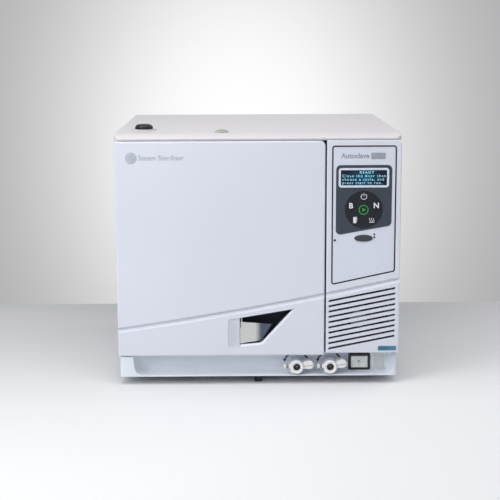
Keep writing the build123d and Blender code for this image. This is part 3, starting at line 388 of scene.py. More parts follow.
def display_glass(name):
    """Dark display glass with a soft blue glow near its middle."""
    shader = Shader(name)
    low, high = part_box("display_window")
    middle = (low + high) / 2
    away = shader.node("ShaderNodeVectorMath")
    away.operation = "DISTANCE"
    squash = shader.node("ShaderNodeMapping")
    squash.inputs["Scale"].default_value = (1.0, 0.0, 1.7)
    shader.join(shader.place, squash.inputs["Vector"])
    shader.join(squash.outputs["Vector"], away.inputs[0])
    away.inputs[1].default_value = (middle.x, 0.0, middle.z * 1.7)
    glow = shader.ramp(away.outputs["Value"], 1.0, 0.0, 0.0, 34 * MM)
    tint = shader.blend(glow, (0.002, 0.004, 0.012), (0.004, 0.035, 0.075))
    shader.join(tint, shader.surface.inputs["Base Color"])
    shader.join(tint, shader.surface.inputs["Emission Color"])
    shader.set(Emission_Strength=1.0, Roughness=0.12)
    shader.bump(shader.noise(1500.0), 0.03, 0.02 * MM)
    return shader.material


def finish(nodes, material):
    """Gives a material to each named CAD node."""
    for name in nodes:
        piece = frame["nodes"][name]
        if not piece.material_slots:
            piece.data.materials.append(material)
        for place in piece.material_slots:
            place.material = material


# ---------------------------------------------------------------- shapes


def add_piece(name, mesh, material, body, smooth=False):
    """Puts a mesh in the scene, riding on its body."""
    piece = bpy.data.objects.new(name, mesh)
    bpy.context.scene.collection.objects.link(piece)
    piece.data.materials.append(material)
    for face in piece.data.polygons:
        face.use_smooth = smooth
    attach(piece, body)
    return piece


def mesh_from(name, build):
    """A mesh made by a function that fills a bmesh."""
    mesh = bpy.data.meshes.new(name)
    work = bmesh.new()
    build(work)
    bmesh.ops.recalc_face_normals(work, faces=work.faces)
    work.to_mesh(mesh)
    work.free()
    return mesh


def place_on(axis, centre):
    """A matrix that takes local Z to an axis, at a centre."""
    return Matrix.Translation(centre) @ Vector(axis).to_track_quat("Z", "Y").to_matrix().to_4x4()


def in_mm(points):
    """Pairs given in millimetres, turned into metres."""
    return [(a * MM, b * MM) for a, b in points]


def lathe_into(work, profile, axis, centre, steps=40):
    """Adds a turned shape, from (radius, height) points, about an axis."""
    turn_to = place_on(axis, centre)
    rings = []
    for radius, height in profile:
        if radius <= 0:
            rings.append([work.verts.new(turn_to @ Vector((0, 0, height)))])
            continue
        ring = []
        for step in range(steps):
            angle = 2 * math.pi * step / steps
            spot = Vector((radius * math.cos(angle), radius * math.sin(angle), height))
            ring.append(work.verts.new(turn_to @ spot))
        rings.append(ring)
    for lower, upper in zip(rings, rings[1:]):
        for step in range(steps):
            after = (step + 1) % steps
            a, b = lower[step % len(lower)], lower[after % len(lower)]
            c, d = upper[after % len(upper)], upper[step % len(upper)]
            corners = list(dict.fromkeys((a, b, c, d)))
            if len(corners) > 2:
                work.faces.new(corners)


def lathe(name, profile, axis, centre, material, body, steps=40):
    """A turned piece."""
    mesh = mesh_from(name, lambda work: lathe_into(work, profile, axis, centre, steps))
    return add_piece(name, mesh, material, body, smooth=True)


def plate_into(work, outline, y_face, thick=PRINT_THICK):
    """Adds a flat shape on the front, from (x, z) points, standing off a face at y_face."""
    near = [work.verts.new((x, y_face - thick, z)) for x, z in outline]
    far = [work.verts.new((x, y_face, z)) for x, z in outline]
    work.faces.new(near)
    work.faces.new(far[::-1])
    for i in range(len(outline)):
        j = (i + 1) % len(outline)
        work.faces.new((near[i], near[j], far[j], far[i]))


def plates(name, outlines, y_face, material, body, thick=PRINT_THICK):
    """A piece made of flat printed shapes."""

    def build(work):
        for outline in outlines:
            plate_into(work, outline, y_face, thick)

    return add_piece(name, mesh_from(name, build), material, body)


def box_outline(x0, x1, z0, z1, radius=0.0):
    """A rectangle with rounded corners."""
    if radius <= 0:
        return [(x0, z0), (x1, z0), (x1, z1), (x0, z1)]
    points = []
    for cx, cz, start in ((x1 - radius, z0 + radius, -90), (x1 - radius, z1 - radius, 0),
                          (x0 + radius, z1 - radius, 90), (x0 + radius, z0 + radius, 180)):
        for step in range(5):
            angle = math.radians(start + step * 22.5)
            points.append((cx + radius * math.cos(angle), cz + radius * math.sin(angle)))
    return points


def arc_band(centre, radius, width, start, end, steps=32):
    """A curved band between two angles, in degrees, as a list of four-sided shapes."""
    shapes = []
    inner, outer = radius - width / 2, radius + width / 2
    for step in range(steps):
        a = math.radians(start + (end - start) * step / steps)
        b = math.radians(start + (end - start) * (step + 1) / steps)
        shapes.append([
            (centre[0] + inner * math.cos(a), centre[1] + inner * math.sin(a)),
            (centre[0] + outer * math.cos(a), centre[1] + outer * math.sin(a)),
            (centre[0] + outer * math.cos(b), centre[1] + outer * math.sin(b)),
            (centre[0] + inner * math.cos(b), centre[1] + inner * math.sin(b)),
        ])
    return shapes


def line_band(a, b, width):
    """A straight stroke between two points."""
    along = Vector((b[0] - a[0], b[1] - a[1])).normalized() * width / 2
    nx, nz = -along.y, along.x
    return [(a[0] + nx, a[1] + nz), (a[0] - nx, a[1] - nz), (b[0] - nx, b[1] - nz), (b[0] + nx, b[1] + nz)]


def lettering(name, words, height, centre, y_face, material, body,
              weight=0.0, spacing=1.0, align="CENTER"):
    """Printed letters on the front, turned into a mesh."""
    curve = bpy.data.curves.new(name, "FONT")
    curve.body = words
    curve.size = height
    curve.align_x = align
    curve.align_y = "CENTER"
    curve.space_character = spacing
    curve.extrude = PRINT_THICK / 2
    curve.offset = weight
    curve.resolution_u = 3
    letters = bpy.data.objects.new(name, curve)
    bpy.context.scene.collection.objects.link(letters)
    bpy.context.view_layer.update()
    mesh = bpy.data.meshes.new_from_object(letters.evaluated_get(bpy.context.evaluated_depsgraph_get()))
    bpy.data.objects.remove(letters)
    place = Matrix.Translation((centre[0], y_face - PRINT_THICK / 2, centre[1]))
    stand = place @ Matrix.Rotation(math.pi / 2, 4, "X")
    mesh.transform(stand)
    mesh.name = name
    mesh.materials.clear()
    return add_piece(name, mesh, material, body)


def centre_of(node):
    """Middle of a CAD node's box."""
    low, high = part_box(node)
    return (low + high) / 2


def mount_place(name):
    """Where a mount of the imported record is."""
    return Vector(next(m["pos_m"] for m in frame["record"]["mounts"] if m["name"] == name))


# ---------------------------------------------------------------- operators


class AUTOCLAVE_OT_covers(bpy.types.Operator):
    """Paints the covers, rear panel, plinth and feet"""

    bl_idname = "autoclave.covers"
    bl_label = "Paint Covers"

    def execute(self, context):
        """Assigns the cabinet's finishes."""
        colours, sizes, _ = settings(context)
        finish(["left_side_cover", "right_side_cover", "rear_panel"],
               powder_paint("Cover paint", colours.cover, sizes.soft_edge))
        # Top paint: the cover paint darkened as painted shade
        finish(["top_cover"], powder_paint("Top paint", colours.top, sizes.soft_edge))
        finish(["front_plinth"], moulding("Plinth moulding", colours.plinth, 0.36, soft_edge=sizes.soft_edge))
        finish(["feet"], rubber("Foot rubber", (0.02, 0.02, 0.022)))
        finish(["base_tray", "front_bulkhead", "hinge_brackets", "hinge_leaves", "lock_actuator"],
               brushed("Zinc plate", (0.50, 0.51, 0.52), (40, 40, 900), 0.38))
        return {"FINISHED"}


class AUTOCLAVE_OT_front(bpy.types.Operator):
    """Finishes the door, the fascia and the handle"""

    bl_idname = "autoclave.front"
    bl_label = "Finish Front"

    def execute(self, context):
        """Assigns the front's finishes."""
        colours, sizes, _ = settings(context)
        front = moulding("Front moulding", colours.front, 0.30, soft_edge=sizes.soft_edge)
        finish(["door_shell", "control_fascia"], front)
        finish(["fascia_insert"],
               moulding("Insert moulding", colours.insert, 0.28, soft_edge=sizes.soft_edge / 2))
        finish(["insert_gasket"], rubber("Gasket rubber", (0.010, 0.011, 0.017)))
        # The handle cover's strip is the front moulding made 8% darker: painted shade for its concave scoop
        shaded_strip = [c * 0.92 for c in colours.front]
        finish(["handle_cover"], moulding("Shaded strip moulding", shaded_strip, 0.36, soft_edge=0.4 * MM))
        finish(["door_surround", "door_inner_panel"], moulding("Surround moulding", colours.cover, 0.42))
        finish(["handle_lever"], self.handle_metal(colours))
        finish(["hinge_pins", "handle_pin", "latch_slider", "lock_bolt"],
               brushed("Ground steel", (0.55, 0.56, 0.58), (900, 900, 30), 0.2))
        # The handle pocket gets painted shade: dark sheets on its floor and walls
        self.pocket_shade(rubber("Pocket shade", colours.pocket_shade))
        return {"FINISHED"}

    def handle_metal(self, colours):
        """Satin metal with painted shade and a painted dark reflection where the plate bends into the pocket.
        """
        shader = Shader("Handle metal")
        lines = shader.noise(1.0, 6.0, shader.stretched((60, 60, 1500)))
        parts = shader.node("ShaderNodeSeparateXYZ")
        shader.join(shader.place, parts.inputs["Vector"])
        metal = shader.mottle(colours.handle, 0.05, shader.ramp(lines, 0, 1, 0.3, 0.7))
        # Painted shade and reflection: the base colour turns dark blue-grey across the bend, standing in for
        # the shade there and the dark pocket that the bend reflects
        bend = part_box("handle_lever")[1].x - BEND_WIDTH
        shade = shader.ramp(parts.outputs["X"], 0, 1, bend - 6 * MM, bend + 4 * MM)
        tint = shader.blend(shade, metal, (0.10, 0.12, 0.17))
        shader.join(tint, shader.surface.inputs["Base Color"])
        shader.rough(0.26, 0.42, lines)
        shader.bump(lines, 0.16, 0.05 * MM, 0.5 * MM)
        shader.set(Metallic=0.85)
        return shader.material

    def pocket_shade(self, material):
        """Dark sheets on the floor and the walls of the handle pocket: painted shade of the deep recess."""
        low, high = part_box("handle_cover")

        def spot(point):
            return high.x + point[0] * MM, low.z + point[1] * MM

        floor = high.y - LIFT
        outline = [spot(point) for point in POCKET_SHADE_FLOOR]
        plates("pocket_floor_shade", [outline], floor, material, "door", 0.4 * MM)
        walls = [line_band(spot(start), spot(end), 0.3 * MM) for start, end in POCKET_SHADE_WALLS]
        plates("pocket_wall_shade", walls, floor - 0.5 * MM, material, "door", POCKET_SHADE_DEPTH)


class AUTOCLAVE_OT_controls(bpy.types.Operator):
    """Finishes the overlay, disc, keys, display and small studs"""

    bl_idname = "autoclave.controls"
    bl_label = "Finish Controls"

    def execute(self, context):
        """Assigns the control panel's finishes."""
        colours, _, _ = settings(context)
        finish(["panel_overlay"], printed_film("Dark film", colours.overlay, 0.34))
        keys = [name for name in frame["nodes"] if name.startswith("key_")]
        finish(keys, printed_film("Key film", colours.disc, 0.30))
        finish(["display_frame"], printed_film("White film", (0.66, 0.71, 0.82), 0.35))
        finish(["display_window"], display_glass("Display glass"))
        self.studs()
        finish(["data_port_cover"], rubber("Port rubber", (0.045, 0.048, 0.058)))
        finish(["fasteners"], brushed("Dark screws", (0.12, 0.12, 0.13), (200, 200, 200), 0.4))
        finish(["circuit_boards"], circuit_mask("Solder mask", (0.02, 0.16, 0.06)))
        return {"FINISHED"}

    def studs(self):
        """Three black dots beside the data port."""
        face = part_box("fascia_insert")[0].y
        ink = printed_film("Stud black", (0.008, 0.008, 0.010), 0.3)

        def build(work):
            for x, z, radius in STUDS:
                dot = [(0, 0.75), (radius * 0.7, 0.72), (radius, 0.6), (radius, -0.1)]
                lathe_into(work, in_mm(dot), OUT, Vector((x * MM, face - 0.6 * MM, z * MM)), 20)

        add_piece("port_studs", mesh_from("port_studs", build), ink, "cabinet")


class AUTOCLAVE_OT_legends(bpy.types.Operator):
    """Prints the key legends and the plain lettering on the front"""

    bl_idname = "autoclave.legends"
    bl_label = "Print Legends"

    def execute(self, context):
        """Prints every legend as a thin raised shape."""
        colours, sizes, _ = settings(context)
        white = printed_film("White ink", colours.legend, 0.4)
        # The start key's green print is given a faint emission: a painted glow on ink, which is no lamp
        green_ink_glow = glowing("Green ink", colours.start, 0.25)
        grey = printed_film("Grey ink", colours.faint_print, 0.4)
        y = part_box("key_start")[0].y
        self.standby(centre_of("key_standby"), y, white)
        for letter, node in (("B", "key_program_b"), ("N", "key_program_n")):
            spot = centre_of(node)
            lettering(f"legend_{letter.lower()}", letter, sizes.letter_height, (spot.x, spot.z), y, white,
                      self.body_of(node), weight=0.35 * MM)
        self.start(centre_of("key_start"), y, green_ink_glow)
        self.door(centre_of("key_door"), y, white)
        self.dry(centre_of("key_dry"), y, white)
        self.names(grey)
        return {"FINISHED"}

    def body_of(self, node):
        """The body that a key rides on."""
        return frame["nodes"][node]["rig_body"]

    def standby(self, spot, y, ink):
        """Broken ring with a short bar."""
        shapes = arc_band((spot.x, spot.z), 4.9 * MM, 1.0 * MM, 118, 422)
        shapes.append(box_outline(spot.x - 0.5 * MM, spot.x + 0.5 * MM, spot.z + 0.6 * MM, spot.z + 6.2 * MM))
        plates("legend_standby", shapes, y, ink, self.body_of("key_standby"))

    def start(self, spot, y, ink):
        """Ring with a triangle."""
        shapes = arc_band((spot.x, spot.z), 7.9 * MM, 1.5 * MM, 0, 360, 48)
        shapes.append([(spot.x - 2.4 * MM, spot.z - 3.4 * MM), (spot.x + 4.2 * MM, spot.z),
                       (spot.x - 2.4 * MM, spot.z + 3.4 * MM)])
        plates("legend_start", shapes, y, ink, self.body_of("key_start"))

    def door(self, spot, y, ink):
        """Door leaf standing ajar."""
        leaf = [(-3.6, -4.8), (1.2, -6.0), (1.2, 4.2), (-3.6, 5.4)]
        frame_line = [(1.9, -3.6), (3.0, -3.6), (3.0, 5.4), (-2.0, 5.9), (-2.0, 5.2), (1.9, 4.8)]
        shapes = [[(spot.x + px * MM, spot.z + pz * MM) for px, pz in shape] for shape in (leaf, frame_line)]
        plates("legend_door", shapes, y, ink, self.body_of("key_door"))

    def dry(self, spot, y, ink):
        """Rising steam over a tray."""
        shapes = [box_outline(spot.x - 4.2 * MM, spot.x + 4.2 * MM, spot.z - 4.5 * MM, spot.z - 3.5 * MM)]
        for dx in (-3.4, 0.0, 3.4):
            for dz, start in ((-1.2, -70), (1.6, 110)):
                side = 0.9 if start > 0 else -0.9
                centre = (spot.x + (dx + side) * MM, spot.z + dz * MM)
                shapes += arc_band(centre, 1.8 * MM, 0.8 * MM, start, start + 120, 10)
        plates("legend_dry", shapes, y, ink, self.body_of("key_dry"))

    def names(self, ink):
        """Plain words on the door and the insert, with a plain tab beside the second."""
        door_low, door_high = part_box("door_shell")
        line = door_high.z - 29 * MM
        lettering("door_lettering", "Steam Steriliser", 12.6 * MM, (door_low.x + 42 * MM, line), FRONT_Y,
                  ink, "door", align="LEFT")
        disc = [(0, 0.12), (10.0, 0.12), (10.3, 0.0)]
        lathe("door_disc", in_mm(disc), OUT, Vector((door_low.x + 29.5 * MM, FRONT_Y, line)),
              printed_film("Pale disc", (0.44, 0.47, 0.54), 0.4), "door", 48)
        insert_low, insert_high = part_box("fascia_insert")
        face = insert_low.y
        z = insert_high.z - 16 * MM
        lettering("insert_lettering", "Autoclave", 12.0 * MM, (INSERT_WORD_X, z), face, ink, "cabinet",
                  weight=0.40 * MM)
        tab = box_outline(*INSERT_TAB_X, z - 5.8 * MM, z + 5.6 * MM, 1.8 * MM)
        plates("insert_tab", [tab], face, ink, "cabinet")


class AUTOCLAVE_OT_display(bpy.types.Operator):
    """Lights the display's four rows of characters"""

    bl_idname = "autoclave.display"
    bl_label = "Light Display"

    def execute(self, context):
        """Adds each row of characters on the glass."""
        colours, sizes, _ = settings(context)
        low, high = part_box("display_window")
        lit = glowing("Display characters", colours.glow, 0.32)
        rows = ("          READY", "Close the door then", "choose a cycle, and", "press start to run.")
        top = high.z - 4.2 * MM
        for index, words in enumerate(rows):
            place = (low.x + 2.4 * MM, top - index * sizes.row_pitch)
            lettering(f"display_row_{index + 1}", words, 6.6 * MM, place, low.y, lit,
                      "cabinet", spacing=DISPLAY_SPACING, align="LEFT")
        return {"FINISHED"}


class AUTOCLAVE_OT_valves(bpy.types.Operator):
    """Finishes the drain valves and adds their rings, slots and marks"""

    bl_idname = "autoclave.valves"
    bl_label = "Finish Valves"

    def execute(self, context):
        """Adds the small parts of both valves."""
        colours, _, _ = settings(context)
        white = moulding("Valve moulding", colours.valve, 0.30, 3000.0, 0.5 * MM, 0.03)
        grey = moulding("Valve grey", (0.22, 0.22, 0.21), 0.42)
        dark = moulding("Valve throat", (0.20, 0.20, 0.19), 0.40)
        olive = moulding("Valve slot", (0.34, 0.33, 0.24), 0.5)
        finish(["drain_valves", "clean_drain_lever", "used_drain_lever"], white)
        inks = {"clean": printed_film("Blue mark", (0.02, 0.10, 0.20)),
                "used": printed_film("Dark mark", (0.04, 0.045, 0.06))}
        for name, ink in inks.items():
            spot = mount_place(f"{name}_drain_bore")
            self.dress(name, spot, white, grey, dark, olive)
            self.marks(name, spot, ink, inks["used"])
        return {"FINISHED"}

    def dress(self, name, spot, white, grey, dark, olive):
        """Throat, front bead, spigot rings and the slot in the wing."""
        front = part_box("drain_valves")[0].y
        face = Vector((spot.x, front, spot.z))
        bead = [(8.2, -0.6), (8.5, 0.3), (9.2, 0.9), (10.2, 1.1), (11.2, 0.8), (11.9, 0.0), (12.0, -0.8)]
        lathe(f"{name}_valve_bead", in_mm(bead), OUT, face, white, "cabinet", 56)
        throat = [(6.35, -1.2), (6.35, -13.2), (3.2, -13.4), (3.2, -7.0), (2.4, -6.2), (0, -6.0)]
        lathe(f"{name}_valve_throat", in_mm(throat), OUT, face, dark, "cabinet", 48)
        root = Vector((spot.x, front + 5.5 * MM, spot.z + 0.6 * MM))
        ring = [(3.5, 14.6), (3.8, 14.8), (3.95, 15.2), (3.95, 18.4), (3.8, 18.8), (3.5, 19.0)]
        lathe(f"{name}_spigot_ring", in_mm(ring), LEFT, root, grey, "cabinet", 40)
        end = [(3.5, 19.6), (4.0, 19.8), (4.25, 20.3), (4.25, 22.6), (4.0, 23.1), (3.0, 23.2), (0, 23.2)]
        lathe(f"{name}_spigot_flange", in_mm(end), LEFT, root, white, "cabinet", 40)
        lever_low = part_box(f"{name}_drain_lever")[0].y
        lean = math.radians(LEVER_LEAN[name])
        ends = []
        for px, pz in ((11.6, 1.1), (30.4, 2.6)):
            ends.append((spot.x + (px * math.cos(lean) - pz * math.sin(lean)) * MM,
                         spot.z + (px * math.sin(lean) + pz * math.cos(lean)) * MM))
        slot = line_band(*ends, 0.9 * MM)
        plates(f"{name}_lever_slot", [slot], lever_low + 2.9 * MM, olive, f"{name}_lever",
               2.2 * MM)

    def marks(self, name, spot, ink, dark):
        """Curved arrow and stroke printed on the plinth behind the valve."""
        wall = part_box("front_plinth")[0].y + MARK_DEPTH
        centre = (spot.x - 3 * MM, spot.z)
        shapes = arc_band(centre, 19 * MM, 2.6 * MM, 118, 160, 14)
        tip = Vector((math.cos(math.radians(160)), math.sin(math.radians(160)))) * 19 * MM
        shapes.append([(centre[0] + tip.x - 3.2 * MM, centre[1] + tip.y + 1.0 * MM),
                       (centre[0] + tip.x + 3.4 * MM, centre[1] + tip.y + 1.0 * MM),
                       (centre[0] + tip.x - 0.6 * MM, centre[1] + tip.y - 4.0 * MM)])
        plates(f"{name}_drain_arrow", shapes, wall, ink, "cabinet", LABEL_THICK)
        stroke = line_band((spot.x + 13 * MM, spot.z + 17 * MM),
                           (spot.x + 20 * MM, spot.z + 10 * MM), 3.0 * MM)
        plates(f"{name}_drain_stroke", [stroke], wall, dark, "cabinet", LABEL_THICK)


class AUTOCLAVE_OT_switch(bpy.types.Operator):
    """Finishes the mains switch and sticks on the plain labels"""

    bl_idname = "autoclave.switch"
    bl_label = "Finish Switch"

    def execute(self, context):
        """Adds the rocker's marks and three plain labels."""
        colours, _, _ = settings(context)
        finish(["switch_bezel"], moulding("Bezel black", (0.012, 0.012, 0.014), 0.40, soft_edge=0.4 * MM))
        finish(["switch_rocker"], translucent("Rocker clear", (0.74, 0.79, 0.76), 0.24, 0.10))
        low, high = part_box("switch_rocker")
        mid = (low + high) / 2
        dot = [(0.0, 0.25), (1.2, 0.2), (1.6, 0.0), (1.6, -1.5)]
        centre = Vector((mid.x - 1 * MM, low.y + 2.9 * MM, mid.z + 0.5 * MM))
        lathe("rocker_dot", in_mm(dot), OUT, centre,
              rubber("Rocker ink", (0.03, 0.03, 0.03)), "mains_rocker", 24)
        bezel_low, bezel_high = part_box("switch_bezel")
        label_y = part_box("front_plinth")[0].y + SWITCH_DEPTH
        tag = box_outline(bezel_high.x + 6.4 * MM, bezel_high.x + 25.9 * MM,
                          bezel_low.z + 2 * MM, bezel_high.z, 0.8 * MM)
        plates("switch_label", [tag], label_y, printed_film("Grey label", (0.60, 0.63, 0.62), 0.45),
               "cabinet", LABEL_THICK)
        fascia_low, fascia_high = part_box("control_fascia")
        x1 = fascia_high.x - 4.6 * MM
        z0 = fascia_low.z + 4.6 * MM
        rim = box_outline(x1 - 33 * MM, x1 + 0.9 * MM, z0 - 0.9 * MM, z0 + 8.5 * MM, 1.2 * MM)
        plates("blue_label_rim", [rim], FRONT_Y, printed_film("Pale rim", (0.34, 0.52, 0.60)),
               "cabinet", LABEL_THICK / 2)
        blue = box_outline(x1 - 32 * MM, x1 - 13 * MM, z0, z0 + 7.6 * MM, 0.6 * MM)
        pale = box_outline(x1 - 13 * MM, x1, z0, z0 + 7.6 * MM, 0.6 * MM)
        plates("blue_label_left", [blue], FRONT_Y, printed_film("Blue print", colours.blue),
               "cabinet", LABEL_THICK)
        plates("blue_label_right", [pale], FRONT_Y, printed_film("Slate print", (0.10, 0.20, 0.28)),
               "cabinet", LABEL_THICK)
        return {"FINISHED"}


class AUTOCLAVE_OT_top_fittings(bpy.types.Operator):
    """Finishes the filler, its cap and the spirit level"""

    bl_idname = "autoclave.top_fittings"
    bl_label = "Finish Top Fittings"

    def execute(self, context):
        """Adds the cap's dome and grips, and the level's ring."""
        colours, _, _ = settings(context)
        black = moulding("Cap black", (0.012, 0.013, 0.015), 0.26, soft_edge=0.5 * MM)
        finish(["filler_cap"], black)
        # The neck takes the top cover's colour, painted shade included, made 5% darker
        finish(["filler_neck"], moulding("Neck moulding", [c * 0.95 for c in colours.top], 0.4))
        finish(["spirit_level"], translucent("Level lens", (0.50, 0.52, 0.42), 0.18, 0.35))
        low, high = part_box("filler_cap")
        centre = (low + high) / 2
        radius = (high.x - low.x) / 2

        def grips(work):
            for turn in range(GRIPS):
                angle = turn * 2 * math.pi / GRIPS
                spot = Vector((centre.x + radius * math.cos(angle),
                               centre.y + radius * math.sin(angle), low.z + 0.4 * MM))
                lathe_into(work, in_mm([(0, 0), (0.7, 0), (0.7, 3.0), (0, 3.6)]), UP, spot, 8)

        add_piece("cap_grips", mesh_from("cap_grips", grips), black, "cap", smooth=True)
        reach = radius / MM - 1.2
        dome = [(reach, -0.2)]
        for degrees in range(10, 81, 10):
            angle = math.radians(degrees)
            dome.append((reach * math.cos(angle), 3.2 * math.sin(angle)))
        dome.append((0, 3.2))
        lathe("cap_dome", in_mm(dome), UP, Vector((centre.x, centre.y, high.z)), black,
              "cap", 56)
        level_low, level_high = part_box("spirit_level")
        level = (level_low + level_high) / 2
        band = [(12.3, 0.0), (12.7, 0.4), (12.7, 1.5), (12.1, 1.9), (11.2, 1.8)]
        lathe("level_ring", in_mm(band), UP, Vector((level.x, level.y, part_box("top_cover")[1].z)),
              moulding("Level ring", (0.50, 0.52, 0.46), 0.3), "cabinet", 48)
        return {"FINISHED"}


class AUTOCLAVE_OT_works(bpy.types.Operator):
    """Finishes the chamber, the trays and the works inside"""

    bl_idname = "autoclave.works"
    bl_label = "Finish Works"

    def execute(self, context):
        """Assigns the inner finishes and adds the plate's bolts and the fan's hub label."""
        finish(["chamber_vessel", "tray_rack"],
               brushed("Chamber steel", (0.62, 0.61, 0.60), (60, 900, 60), 0.26))
        steel = brushed("Plate steel", (0.62, 0.61, 0.60), (12, 60, 1100), 0.30)
        finish(["pressure_plate"], steel)
        finish(["instrument_trays"], brushed("Tray metal", (0.70, 0.71, 0.73), (30, 900, 900), 0.32))
        finish(["door_seal"], rubber("Seal silicone", (0.62, 0.58, 0.50)))
        finish(["insulation_jacket"], felt("Insulation", (0.55, 0.52, 0.42)))
        finish(["clean_tank", "used_tank"], translucent("Tank plastic", (0.70, 0.72, 0.68), 0.4, 0.2))
        finish(["pipework"], translucent("Pipe plastic", (0.72, 0.72, 0.68), 0.3, 0.2))
        finish(["vacuum_pump", "steam_generator", "condenser"], cast_metal("Cast metal", (0.42, 0.43, 0.44)))
        finish(["fan_frame", "fan_rotor"], moulding("Fan black", (0.015, 0.015, 0.017), 0.38))
        finish(["mains_inlet"], moulding("Inlet black", (0.014, 0.014, 0.016), 0.40, soft_edge=0.4 * MM))
        finish(["air_filter"], moulding("Filter white", (0.62, 0.63, 0.62), 0.36, soft_edge=0.4 * MM))
        self.hub_label()
        self.plate_bolt(steel)
        return {"FINISHED"}

    def hub_label(self):
        """Pale round label on the fan's hub, seen through the louvres."""
        low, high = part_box("fan_rotor")
        mid = (low + high) / 2
        disc = [(0, 0.15), (14.6, 0.15), (15.0, 0.0), (15.0, -0.2)]
        lathe("fan_hub_label", in_mm(disc), OUT, Vector((mid.x, low.y, mid.z)),
              printed_film("Hub label", (0.48, 0.58, 0.52), 0.5), "rotor", 40)

    def plate_bolt(self, steel):
        """Domed cap and pressed rings in the middle of the pressure plate."""
        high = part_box("pressure_plate")[1]
        mid = centre_of("pressure_plate")
        spot = Vector((mid.x, high.y, mid.z))
        cap = [(0, 5.0), (4, 4.7), (8, 3.4), (10, 1.6), (10.5, 0), (22, 0), (23, 0.8), (25, 0.8), (26, 0)]
        lathe("plate_cap", in_mm(cap), BACK, spot, steel, "door", 56)
        for index, radius in enumerate((60, 92)):
            ring = [(radius - 3, 0), (radius - 2, 0.9), (radius + 2, 0.9), (radius + 3, 0)]
            lathe(f"plate_ring_{index + 1}", in_mm(ring), BACK, spot, steel, "door",
                  96)


class AUTOCLAVE_OT_screws(bpy.types.Operator):
    """Adds screws on the rear panel, the door's back and the side covers"""

    bl_idname = "autoclave.screws"
    bl_label = "Add Screws"

    def execute(self, context):
        """Adds groups of screws, one piece for each panel."""
        _, sizes, _ = settings(context)
        zinc = brushed("Screw zinc", (0.60, 0.60, 0.58), (300, 300, 300), 0.3)
        low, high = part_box("rear_panel")
        rear = [((x, high.y, z), BACK) for x in REAR_SCREW_X for z in (low.z + 12 * MM, high.z - 8 * MM)]
        rear += [((side * REAR_SCREW_EDGE, high.y, z), BACK) for side in (-1, 1) for z in REAR_SCREW_Z]
        self.group("rear_screws", rear, sizes.screw_radius, zinc, "cabinet")
        panel_low, panel_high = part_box("door_inner_panel")
        inset = 10 * MM
        back = []
        for z in (panel_low.z + inset, (panel_low.z + panel_high.z) / 2, panel_high.z - inset):
            back += [((x, panel_high.y, z), BACK) for x in (panel_low.x + 26 * MM, panel_high.x - inset)]
        ends = (panel_low.z + inset, panel_high.z - inset)
        back += [((x, panel_high.y, z), BACK) for x in DOOR_SCREW_X for z in ends]
        self.group("door_screws", back, sizes.screw_radius * 0.8, zinc, "door")
        for side, node in ((-1, "left_side_cover"), (1, "right_side_cover")):
            cover_low, cover_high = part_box(node)
            x = cover_low.x if side < 0 else cover_high.x
            spots = [((x, y, cover_low.z + 12 * MM), (side, 0, 0)) for y in SIDE_SCREW_Y]
            self.group(f"{node}_screws", spots, sizes.screw_radius * 0.9, zinc, "cabinet")
        return {"FINISHED"}

    def group(self, name, spots, radius, material, body):
        """Screws with a round recess in the head."""

        def build(work):
            for centre, axis in spots:
                head = [(radius, -0.1 * MM), (radius, 0.5 * MM), (radius * 0.8, 1.1 * MM),
                        (radius * 0.48, 1.3 * MM), (radius * 0.44, 0.3 * MM), (0, 0.3 * MM)]
                lathe_into(work, head, axis, Vector(centre), 24)

        add_piece(name, mesh_from(name, build), material, body, smooth=True)


